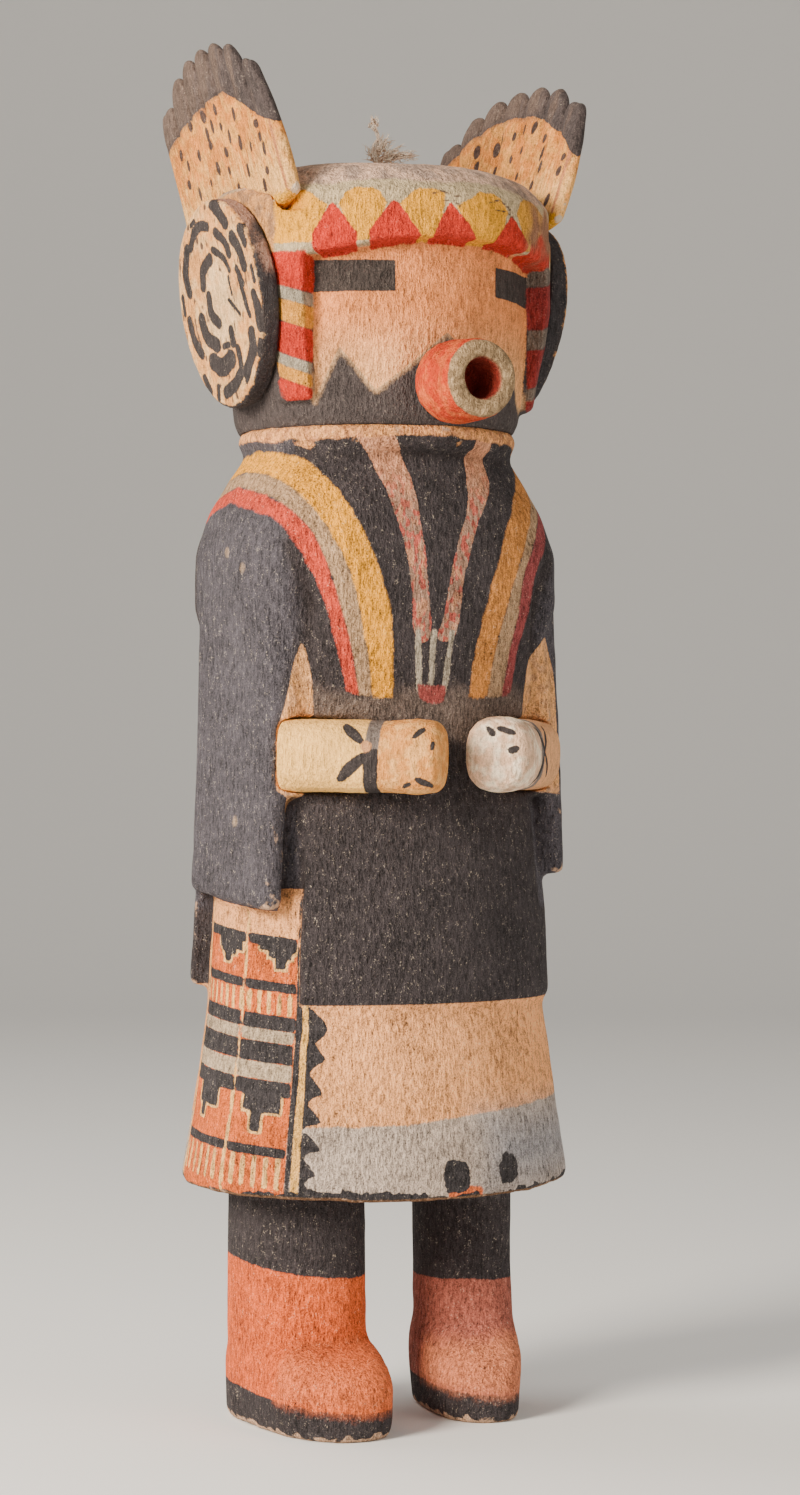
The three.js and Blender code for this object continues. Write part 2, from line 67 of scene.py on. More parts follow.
def facing(turn):
    # level directions for a viewer at this turn round the doll: ahead, and to the right
    angle = math.radians(turn)
    return Vector((-math.sin(angle), math.cos(angle), 0)), Vector((math.cos(angle), math.sin(angle), 0))


def aroundDoll(turn, distance, height, side=0.0):
    # a place round the doll's axis, in metres; turn 0 is in front and -90 on its right
    forward, right = facing(turn)
    return (-forward * distance + right * side + Vector((0, 0, height))) * mm + Vector((0, axisY, 0))


def addObject(name, data):
    obj = bpy.data.objects.new(name, data)
    bpy.context.scene.collection.objects.link(obj)
    return obj


def addMesh(name, verts, faces):
    mesh = bpy.data.meshes.new(name)
    mesh.from_pydata(verts, [], faces)
    mesh.shade_smooth()
    return addObject(name, mesh)


def makeCamera():
    s = cameraSettings
    camera = addObject("camera", bpy.data.cameras.new("camera"))
    camera.location = aroundDoll(s["turn"], s["distance"], s["height"], s["side"])
    camera.rotation_euler = (math.radians(90), 0, math.radians(s["turn"]))
    camera.data.lens = s["lens"]
    camera.data.sensor_width = 36
    bpy.context.scene.camera = camera


def makeLights():
    for name, (turn, height, distance, size, watts, color) in lights.items():
        lamp = bpy.data.lights.new(name, "AREA")
        lamp.shape, lamp.size = "DISK", size * mm
        lamp.energy, lamp.color = watts, color
        obj = addObject(name, lamp)
        obj.location = aroundDoll(turn, distance, height)
        aim = Vector((0, axisY, aimHeight * mm)) - obj.location
        obj.rotation_euler = aim.to_track_quat("-Z", "Y").to_euler()
    world = bpy.data.worlds.new("studio")
    world.use_nodes = True
    background = world.node_tree.nodes["Background"].inputs
    background["Color"].default_value, background["Strength"].default_value = (*worldColor, 1), worldStrength
    bpy.context.scene.world = world


def makeFloor():
    # a floor that sweeps up behind the doll
    back, sweep, top = 1.2, 0.8, 3.0
    profile = [(-2.2, 0.0), (back, 0.0)]
    profile += [(back + sweep * math.sin(a), sweep - sweep * math.cos(a))
                for a in np.linspace(0.1, math.pi / 2, 14)]
    profile += [(back + sweep, top)]
    forward, right = facing(cameraSettings["turn"])
    verts = [forward * d + right * s + Vector((0, 0, z)) for d, z in profile for s in (-3.0, 3.0)]
    faces = [(2 * i, 2 * i + 1, 2 * i + 3, 2 * i + 2) for i in range(len(profile) - 1)]
    floor = addMesh("floor", verts, faces)
    material = bpy.data.materials.new("pale floor")
    material.use_nodes = True
    shader = material.node_tree.nodes["Principled BSDF"]
    shader.inputs["Base Color"].default_value = (*floorColor, 1)
    shader.inputs["Roughness"].default_value = 0.9
    floor.data.materials.append(material)


makeCamera()
makeLights()
makeFloor()
print("camera, lights and floor made")


# carving helpers

def carvedCopy(name, node, voxel, above=None, below=None):
    # a closed copy of a node, or of its part above or below a height in mm, with even small faces
    bm = bmesh.new()
    bm.from_mesh(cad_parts[node].data)
    bmesh.ops.remove_doubles(bm, verts=bm.verts, dist=1e-6)
    for height, side in ((above, -1), (below, 1)):
        if height is None:
            continue
        bmesh.ops.bisect_plane(
            bm, geom=bm.verts[:] + bm.edges[:] + bm.faces[:], plane_co=(0, 0, height * mm),
            plane_no=(0, 0, side), clear_outer=True)
        bmesh.ops.holes_fill(bm, edges=[e for e in bm.edges if e.is_boundary])
    mesh = bpy.data.meshes.new(name)
    bm.to_mesh(mesh)
    bm.free()
    obj = addObject(name, mesh)
    remesh = obj.modifiers.new("voxels", "REMESH")
    remesh.mode, remesh.voxel_size = "VOXEL", voxel * mm
    fine = bpy.data.meshes.new_from_object(obj.evaluated_get(bpy.context.evaluated_depsgraph_get()))
    obj.modifiers.clear()
    obj.data = fine
    fine.name = name
    fine.materials.clear()
    fine.shade_smooth()
    return obj


def readPoints(obj):
    # vertices in mm about the doll's own axis
    points = np.empty(len(obj.data.vertices) * 3)
    obj.data.vertices.foreach_get("co", points)
    return (points.reshape(-1, 3) - (0, axisY, 0)) / mm


def writePoints(obj, points):
    obj.data.vertices.foreach_set("co", (points * mm + (0, axisY, 0)).ravel())
    obj.data.update()


def readEdges(obj):
    edges = np.empty(len(obj.data.edges) * 2, np.int64)
    obj.data.edges.foreach_get("vertices", edges)
    return edges.reshape(-1, 2)


def readNormals(obj):
    normals = np.empty(len(obj.data.vertices) * 3)
    obj.data.vertices.foreach_get("normal", normals)
    return normals.reshape(-1, 3)


def neighbourMean(values, edges):
    # the mean over each vertex's neighbours, for one value or three
    a, b = edges.T
    count = np.bincount(edges.ravel(), minlength=len(values))
    columns = values.reshape(len(values), -1).T
    sums = [np.bincount(a, c[b], len(c)) + np.bincount(b, c[a], len(c)) for c in columns]
    return (np.array(sums) / count).T.reshape(values.shape)


def relax(points, edges, rounds):
    for _ in range(rounds):
        points = points + 0.5 * (neighbourMean(points, edges) - points)
    return points


def noiseAt(points, size, seed):
    # smooth noise from -1 to 1, with features of about this size in mm
    cell = np.floor(points / size)
    f = points / size - cell
    f = f * f * (3 - 2 * f)
    cell = cell.astype(np.int64)
    total = np.zeros(len(points))
    for corner in itertools.product((0, 1), repeat=3):
        c = cell + corner
        h = (c[:, 0] * 73856093 ^ c[:, 1] * 19349663 ^ c[:, 2] * 83492791 ^ seed * 668265263) & 0xFFFFFFFF
        h = ((h ^ (h >> 13)) * 1274126177) & 0xFFFFFFFF
        value = ((h ^ (h >> 16)) & 0xFFFF) / 32767.5 - 1
        total += value * np.prod(np.where(corner, f, 1 - f), axis=1)
    return total


def smoothStep(low, high, value):
    t = np.clip((value - low) / (high - low), 0, 1)
    return t * t * (3 - 2 * t)


# paint helpers

def tone(red, green, blue):
    # a colour given by its screen values, 0 to 255
    return tuple(((c / 255 + 0.055) / 1.055) ** 2.4 for c in (red, green, blue)) + (1,)


def storeValue(obj, name, values):
    attribute = obj.data.attributes.new(name, "FLOAT", "POINT")
    attribute.data.foreach_set("value", np.asarray(values, np.float32))


def arcTable(width, depth):
    # turns degrees round the doll into mm along an oval of this half width and half depth
    angle = np.radians(np.arange(-181, 182))
    radius = 1 / np.sqrt((np.sin(angle) / width) ** 2 + (np.cos(angle) / depth) ** 2)
    x, y = radius * np.sin(angle), radius * np.cos(angle)
    length = np.concatenate([[0], np.cumsum(np.hypot(np.diff(x), np.diff(y)))])
    length -= length[181]
    return lambda degrees: np.interp(degrees, np.degrees(angle), length)


bodyArc = arcTable(39, 30)
headArc = arcTable(37, 37)
sides = {"right": -1, "left": 1}
outside = -9.0  # a distance well outside any patch of paint


def sideName(side):
    return "left" if side > 0 else "right"


def smoothLine(points, steps=5):
    # a drawn line's rounded course through its points
    ends = [points[0], *points, points[-1]]
    course = []
    for a, b, c, d in zip(ends, ends[1:], ends[2:], ends[3:]):
        for i in range(steps):
            t = i / steps
            course.append(tuple(
                0.5 * (2 * q + (r - o) * t + (2 * o - 5 * q + 4 * r - e) * t * t
                       + (3 * q - o - 3 * r + e) * t ** 3)
                for o, q, r, e in zip(a, b, c, d)))
    return course + [points[-1]]


def lineDistance(u, v, line, closed=False):
    best = np.full(len(u), 1e9)
    ends = list(zip(line, line[1:] + line[:1])) if closed else list(zip(line, line[1:]))
    for (au, av), (bu, bv) in ends:
        du, dv = bu - au, bv - av
        t = np.clip(((u - au) * du + (v - av) * dv) / max(du * du + dv * dv, 1e-9), 0, 1)
        best = np.minimum(best, np.hypot(u - au - t * du, v - av - t * dv))
    return best


def insideOutline(u, v, outline):
    # mm inside a closed outline, negative outside it
    inside = np.zeros(len(u), bool)
    for (au, av), (bu, bv) in zip(outline, outline[1:] + outline[:1]):
        if au == bu and av == bv:
            continue
        crossing = (av > v) != (bv > v)
        inside ^= crossing & (u < (bu - au) * (v - av) / ((bv - av) or 1e-9) + au)
    distance = lineDistance(u, v, outline, closed=True)
    return np.where(inside, distance, -distance)


def outlineOn(arc, degrees, z, points):
    # the same, for an outline of (degrees, height) points on the body or the head
    return insideOutline(arc(degrees), z, [(float(arc(d)), h) for d, h in points])


def strokeOn(arc, degrees, z, points, width):
    return width / 2 - lineDistance(arc(degrees), z, [(float(arc(d)), h) for d, h in points])


def anyOf(*distances):
    return np.maximum.reduce([np.broadcast_to(d, distances[0].shape) for d in distances])


def allOf(*distances):
    return np.minimum.reduce([np.broadcast_to(d, distances[0].shape) for d in distances])


def put(tree, kind, inputs=None, **settings):
    # one shader node, with values or links for its inputs
    node = tree.nodes.new("ShaderNode" + kind)
    for key, value in settings.items():
        setattr(node, key, value)
    for key, value in (inputs or {}).items():
        if isinstance(value, bpy.types.NodeSocket):
            tree.links.new(value, node.inputs[key])
        else:
            node.inputs[key].default_value = value
    return node


def calc(tree, operation, a, b=0.0, c=0.0):
    return put(tree, "Math", {0: a, 1: b, 2: c}, operation=operation).outputs[0]


def ramp(tree, value, low, high, outLow=0.0, outHigh=1.0):
    inputs = {"Value": value, "From Min": low, "From Max": high, "To Min": outLow, "To Max": outHigh}
    return put(tree, "MapRange", inputs, interpolation_type="SMOOTHSTEP").outputs[0]


def mixColor(tree, factor, below, above, blend="MIX"):
    return put(tree, "Mix", {0: factor, 6: below, 7: above}, data_type="RGBA", blend_type=blend).outputs[2]


def startGroup(name, inputs, outputs):
    tree = bpy.data.node_groups.new(name, "ShaderNodeTree")
    kinds = {"color": "NodeSocketColor", "value": "NodeSocketFloat"}
    for label, kind in inputs.items():
        tree.interface.new_socket(name=label, in_out="INPUT", socket_type=kinds[kind])
    for label, kind in outputs.items():
        tree.interface.new_socket(name=label, in_out="OUTPUT", socket_type=kinds[kind])
    return tree, tree.nodes.new("NodeGroupInput").outputs, tree.nodes.new("NodeGroupOutput").inputs


def millimetres(tree, stretch=(1, 1, 1)):
    place = tree.nodes.new("ShaderNodeTexCoord").outputs["Object"]
    scale = [s / mm for s in stretch]
    return put(tree, "VectorMath", {0: place, 1: scale}, operation="MULTIPLY").outputs[0]


def noiseValue(tree, place, size, detail=2.0, rough=0.5):
    inputs = {"Vector": place, "Scale": 1 / size, "Detail": detail, "Roughness": rough}
    return put(tree, "TexNoise", inputs).outputs[0]


def mottled(first, second, size):
    # a paint of two tones in soft patches of about this size in mm
    def color(tree):
        spots = noiseValue(tree, millimetres(tree), size, 2.0, 0.6)
        return mixColor(tree, ramp(tree, spots, 0.42, 0.62), first, second)
    return color


def sided(right, left, low=-6, high=6):
    # one paint on the doll's right side and a darker copy of it on its left, as painted shade on the side
    # turned from the light
    def color(tree):
        across = put(tree, "SeparateXYZ", {0: millimetres(tree)}).outputs[0]
        return mixColor(tree, ramp(tree, across, low, high), right, left)
    return color


def makeBrushEdge():
    # where a brushed patch of paint lies: its distance field, with a hand's wobble and a soft edge
    tree, given, result = startGroup(
        "brush edge", {"Distance": "value", "Wobble": "value", "Soft": "value"}, {"Mask": "value"})
    place = millimetres(tree)
    slow = calc(tree, "SUBTRACT", noiseValue(tree, place, 3.2, 1.0), 0.5)
    quick = calc(tree, "SUBTRACT", noiseValue(tree, place, 0.55, 2.0), 0.5)
    wobble = calc(tree, "MULTIPLY_ADD", quick, 0.8, slow)
    edge = calc(tree, "MULTIPLY_ADD", wobble, given["Wobble"], given["Distance"])
    low = calc(tree, "MULTIPLY", given["Soft"], -1.0)
    tree.links.new(ramp(tree, edge, low, given["Soft"]), result["Mask"])
    return tree


def makePaintGrain():
    # old matt paint on cottonwood: upright brush streaks, mottling, pale specks and dark pits
    tree, given, result = startGroup(
        "paint grain",
        {"Color": "color", "Streak": "value", "Mottle": "value", "Specks": "value", "Pits": "value"},
        {"Color": "color", "Height": "value"})
    place = millimetres(tree)
    fibre = noiseValue(tree, millimetres(tree, (1, 1, 0.28)), 0.62, 3.0, 0.62)
    clumps = noiseValue(tree, millimetres(tree, (1, 1, 0.6)), 1.1, 3.0, 0.6)
    patches = noiseValue(tree, place, 11, 3.0, 0.55)
    fine = noiseValue(tree, place, 0.34, 2.0, 0.6)
    shade = calc(tree, "MULTIPLY_ADD", calc(tree, "SUBTRACT", fibre, 0.5), given["Streak"], 1.0)
    shade = calc(tree, "MULTIPLY_ADD", calc(tree, "SUBTRACT", fine, 0.5), given["Streak"], shade)
    shade = calc(tree, "MULTIPLY_ADD", calc(tree, "SUBTRACT", patches, 0.5), given["Mottle"], shade)
    shade = calc(tree, "MULTIPLY_ADD", calc(tree, "SUBTRACT", clumps, 0.5), given["Mottle"], shade)
    gray = put(tree, "CombineColor", {0: shade, 1: shade, 2: shade}).outputs[0]
    color = mixColor(tree, 1.0, given["Color"], gray, "MULTIPLY")
    pale = ramp(tree, calc(tree, "MULTIPLY_ADD", clumps, 0.7, fine), 1.0, 1.14)
    pale = calc(tree, "MULTIPLY", pale, given["Specks"])
    color = mixColor(tree, pale, color, tone(205, 190, 168))
    dark = ramp(tree, calc(tree, "MULTIPLY_ADD", fibre, 0.5, fine), 0.56, 0.44)
    dark = calc(tree, "MULTIPLY", dark, given["Pits"])
    color = mixColor(tree, dark, color, tone(60, 42, 36))
    tree.links.new(color, result["Color"])
    height = calc(tree, "MULTIPLY_ADD", fibre, 0.34, calc(tree, "MULTIPLY", clumps, 0.42))
    tree.links.new(calc(tree, "MULTIPLY_ADD", fine, 0.16, height), result["Height"])
    return tree


def makeEdgeWear():
    # paint rubbed through where the wood stands proud
    tree, given, result = startGroup(
        "edge wear", {"Proud": "value", "Amount": "value"}, {"Mask": "value"})
    place = millimetres(tree)
    broken = calc(tree, "MULTIPLY_ADD", noiseValue(tree, place, 2.4, 3.0, 0.65), 1.5, given["Proud"])
    broken = calc(tree, "ADD", broken, given["Amount"])
    tree.links.new(ramp(tree, broken, 1.55, 1.8), result["Mask"])
    return tree


brushEdge, paintGrain, edgeWear = makeBrushEdge(), makePaintGrain(), makeEdgeWear()


def useGroup(tree, group, inputs):
    return put(tree, "Group", inputs, node_tree=group).outputs


def attributeValue(tree, name):
    return put(tree, "Attribute", attribute_name=name).outputs["Fac"]


def paintedMaterial(name, base, layers, finish):
    # base colour, then each layer of paint over it as (attribute, colour, wobble, soft)
    material = bpy.data.materials.new(name)
    material.use_nodes = True
    tree = material.node_tree
    shader = tree.nodes["Principled BSDF"]
    color = base(tree) if callable(base) else base
    for attribute, above, wobble, soft in layers:
        inputs = {"Distance": attributeValue(tree, attribute), "Wobble": wobble, "Soft": soft}
        mask = useGroup(tree, brushEdge, inputs)["Mask"]
        above = above(tree) if callable(above) else above
        color = mixColor(tree, mask, color, above)
    grain = {"Color": color, **{key.title(): finish[key] for key in ("streak", "mottle", "specks", "pits")}}
    grain = useGroup(tree, paintGrain, grain)
    color = grain["Color"]
    worn = useGroup(tree, edgeWear, {"Proud": attributeValue(tree, "proud"),
                                     "Amount": finish["wear"]})["Mask"]
    color = mixColor(tree, worn, color, finish["bare"])
    # painted shade: where the surface lies hollow, its colour is darkened towards near black by the finish's
    # amount
    hollow = ramp(tree, attributeValue(tree, "hollow"), 0.1, 1.0, 0.0, finish["soot"])
    color = mixColor(tree, hollow, color, tone(34, 24, 22))
    tree.links.new(color, shader.inputs["Base Color"])
    rough = ramp(tree, grain["Height"], 0.3, 0.62, finish["rough"] + 0.06, finish["rough"] - 0.08)
    tree.links.new(rough, shader.inputs["Roughness"])
    shader.inputs["Specular IOR Level"].default_value = 0.28
    bump = put(tree, "Bump", {"Height": grain["Height"], "Distance": 2.8 * mm, "Strength": finish["bump"]})
    tree.links.new(bump.outputs[0], shader.inputs["Normal"])
    return material


# the body: robe, arms' tops, kilt and boots

bodySettings = {
    "hem": 92.3, "backHem": 95.5, "kiltTop": 117, "collar": 212.8,
    # the side openings between the tunic's flaps, in degrees from the front
    "openings": {"right": (57.4, 104.4), "left": (81, 100.5)},
    # a hanging sleeve: its middle at the hem and higher up, half thickness, half depth, turn, hem, and
    # the hem's rise
    "sleeves": {"right": (-36.9, -35.5, 3.2, 16.0, 0.11, 114.2, 0.133),
                "left": (36.4, 35.8, 3.5, 15.4, 0.0, 120.4, 0.1)},
    "panelSlope": 3.2, "panelFront": 58.4, "panelBack": 102, "seam": 77.7, "stripePeriod": 2.4,
    "robeBlack": tone(58, 52, 54), "sleeveBlue": tone(77, 73, 79), "skin": tone(232, 169, 109),
    "yellow": tone(239, 163, 35), "sashGray": tone(171, 138, 105), "red": tone(200, 70, 50),
    "kiltOchre": tone(242, 169, 110), "kiltBlue": tone(185, 166, 151), "cream": tone(236, 182, 112),
    "orange": tone(214, 102, 44), "black": tone(56, 52, 54), "panelGray": tone(180, 158, 131),
    "boot": tone(220, 97, 45), "instep": tone(228, 113, 63), "underside": tone(120, 88, 62),
    "worn": tone(104, 90, 83), "bare": tone(196, 160, 132),
}

# each sash is given by the lines between its colours, as (degrees from the front, height)
sashLines = {
    "right": [
        [(22.5, 158), (22.8, 169.5), (24.7, 177.6), (30.2, 187.6), (38.5, 197.6), (48.8, 204.6), (65, 210),
         (96, 212)],
        [(31.4, 158), (32.5, 166), (34.4, 172.2), (38, 183.2), (46.7, 194.3), (59, 202), (75, 206),
         (96, 207.3)],
        [(36.9, 158.6), (38.6, 166.9), (42.1, 176.8), (46.8, 186.8), (53.2, 194.3), (67.8, 200.6),
         (96, 204.6)],
        [(41.4, 159.6), (43.9, 168), (46.9, 176.4), (52.4, 185.3), (58.2, 192.2), (67.9, 196.9), (96, 201.3)],
    ],
    "left": [
        [(15.9, 158), (19.5, 172.6), (25.9, 185), (34.2, 196), (45, 203.6), (62, 209.5), (96, 212)],
        [(26.1, 158), (27.5, 166), (30.8, 176.4), (41.7, 191.9), (57.8, 203), (75, 206.3), (96, 207.3)],
        [(34.7, 158.6), (36.3, 171), (39.6, 184), (48, 193), (60, 199.5), (80, 203.6), (96, 204.6)],
        [(39.5, 159), (41.2, 171), (46, 184), (54, 191.5), (66, 197), (86, 200.6), (96, 201.3)],
    ],
}
beadStrands = {
    "right": [(-41, 216), (-33.2, 210), (-26, 203), (-20.7, 196), (-17, 189), (-14.3, 180), (-12.9, 170.7),
              (-5.7, 171.2), (-6.7, 180), (-8.1, 188), (-10.1, 195), (-12.2, 202), (-17.1, 208.7),
              (-24.1, 216)],
    "left": [(15.6, 216), (15.2, 202), (8.6, 192), (4.3, 185), (1.4, 177), (-1.6, 170.6),
             (6.9, 171.2), (9.7, 180.5), (13.7, 189), (21, 198), (28.5, 205), (25.7, 216)],
}
pendantLines = [[(-11.6, 172), (-10.4, 160)], [(-3.6, 172), (-4.4, 160)], [(5.6, 172), (2.8, 160)]]
pendantFoot = [(-11.4, 160.8), (3.6, 160.6), (2.2, 157.2), (-3, 156.6), (-9.6, 157.4)]
# the bare upper arms, by distance from the doll's middle and height
armPatches = {
    "right": [(34.8, 138), (34.6, 150), (33.4, 156), (31.7, 163), (30.4, 167), (29.2, 169.6), (28.2, 167),
              (27.2, 160), (26.4, 152), (26.2, 140), (28.6, 137.4), (30.4, 135.6), (31.6, 132.4),
              (32.4, 136.4)],
    "left": [(37, 137), (36.6, 160), (35, 168), (33, 171.8), (30.4, 169.6), (27.4, 166.6), (25.4, 164),
             (25.0, 138)],
}
sleeveLine = [(70, 199), (62, 192), (57.5, 184), (57, 174), (60, 164), (62.5, 150), (62.5, 100), (110, 100),
              (110, 199)]

# the embroidered panel's rows, by their height at its front edge
panelRows = {
    "black": [(104.0, 106.2), (94.4, 96.5), (86.3, 89.4), (79.3, 83.6), (72.4, 75.6), (59.8, 61.8)],
    "gray": [(83.6, 86.3), (75.6, 79.3)],
    "striped": [(89.4, 94.4), (53.0, 59.8)],
}
# stepped forms hang from a black row, each given by its steps as (from, to, bottom)
panelSteps = [
    [(59.0, 72.5, 103.0), (60.6, 69.0, 101.5), (62.6, 66.2, 99.3)],
    [(79.6, 92.2, 102.0), (82.2, 90.4, 100.9), (84.6, 88.4, 99.2)],
    [(61.6, 73.8, 68.9), (67.4, 71.0, 64.6)],
    [(84.4, 95.6, 68.2), (90.8, 93.6, 65.4)],
]
teeth = [
    (-54.2, 93), (-52.6, 91.4), (-49.5, 89.5), (-47.4, 87.4), (-48.2, 86), (-51.5, 84.2), (-50, 82.9),
    (-47.4, 80.6), (-50.5, 79.6), (-52.9, 78), (-50.6, 76.2), (-48.1, 73.5), (-51.5, 72.7), (-53.1, 71.6),
    (-50.4, 69.6), (-47.6, 67.2), (-52, 67), (-54.6, 66.4), (-50.8, 64.2), (-47.6, 61.7), (-51.5, 61.2),
    (-53.8, 60.2), (-51.3, 58.6), (-49.2, 56.4), (-51.5, 55.9), (-52.8, 54.6), (-50, 52.8), (-44, 51.8),
    (-44, 49), (-54.2, 49),
]
hemMarks = [
    [(-4.2, 52.4), (-4.4, 57), (-2.6, 58.9), (2, 59.3), (6.2, 58.6), (7.4, 56.4), (7.2, 52.6), (1.6, 51.8)],
    [(21, 53), (21.2, 57.4), (24, 59.6), (28.5, 59.4), (31, 57.6), (30.6, 54.2), (27, 52.8)],
]
hemPatch = [(-2.6, 49), (-2.0, 53.2), (4, 53.8), (12.4, 52.8), (13.2, 49)]
rubbedSpots = [(-84.5, 189.3), (-75.8, 185.9), (-81, 131.4)]


def sashFields(turn, z):
    # how far inside each of a sash's three colours; the back repeats the front
    fold = np.minimum(np.abs(turn), 180 - np.abs(turn))
    fields = {}
    for i, name in enumerate(("sashYellow", "sashGray", "sashRed")):
        bySide = []
        for side, sign in sides.items():
            lines = sashLines[side]
            band = outlineOn(bodyArc, fold, z, smoothLine(lines[i]) + smoothLine(lines[i + 1])[::-1])
            bySide.append(np.where(turn * sign > 0, band, outside))
        fields[name] = anyOf(*bySide)
    return fields


def panelFields(turn, z, kilt):
    # the kilt's embroidered side: rows that sink towards the front, a seam, stepped forms and stripes
    s = bodySettings
    back = -turn
    w = z - s["panelSlope"] * np.clip((back - 57) / 45, 0, 1)
    arc = bodyArc(back)
    front, rear = float(bodyArc(s["panelFront"])), float(bodyArc(s["panelBack"]))
    panel = allOf(arc - front, rear - arc, w - 50, kilt)
    seam = 0.42 - np.abs(arc - float(bodyArc(s["seam"])) - (100 - z) * 0.012)

    def row(low, high):
        return np.minimum(w - low, high - w)

    black = anyOf(*[row(*span) for span in panelRows["black"]])
    steps = []
    for form in panelSteps:
        top = 105 if form[0][2] > 90 else 74
        for start, end, bottom in form:
            steps.append(allOf(row(bottom, top), arc - float(bodyArc(start)), float(bodyArc(end)) - arc))
    steps = anyOf(*steps)
    period = s["stripePeriod"]
    stripe = 0.5 - np.abs((arc / period) % 1 - 0.5) * period
    striped = np.minimum(anyOf(*[row(*span) for span in panelRows["striped"]]), stripe)
    rearLine = 0.4 - np.abs(arc - rear - 0.3)
    return {
        "panelOrange": panel,
        "panelCream": anyOf(allOf(panel, anyOf(steps + 0.5, striped)), allOf(panel + 0.2, seam),
                            allOf(kilt, rearLine)),
        "panelBlack": allOf(panel - 0.1, anyOf(black, steps), 0.1 - seam),
        "panelGray": allOf(panel - 0.1, anyOf(*[row(*span) for span in panelRows["gray"]]), 0.1 - seam),
        "panelTop": allOf(panel, w - 106.0),
    }


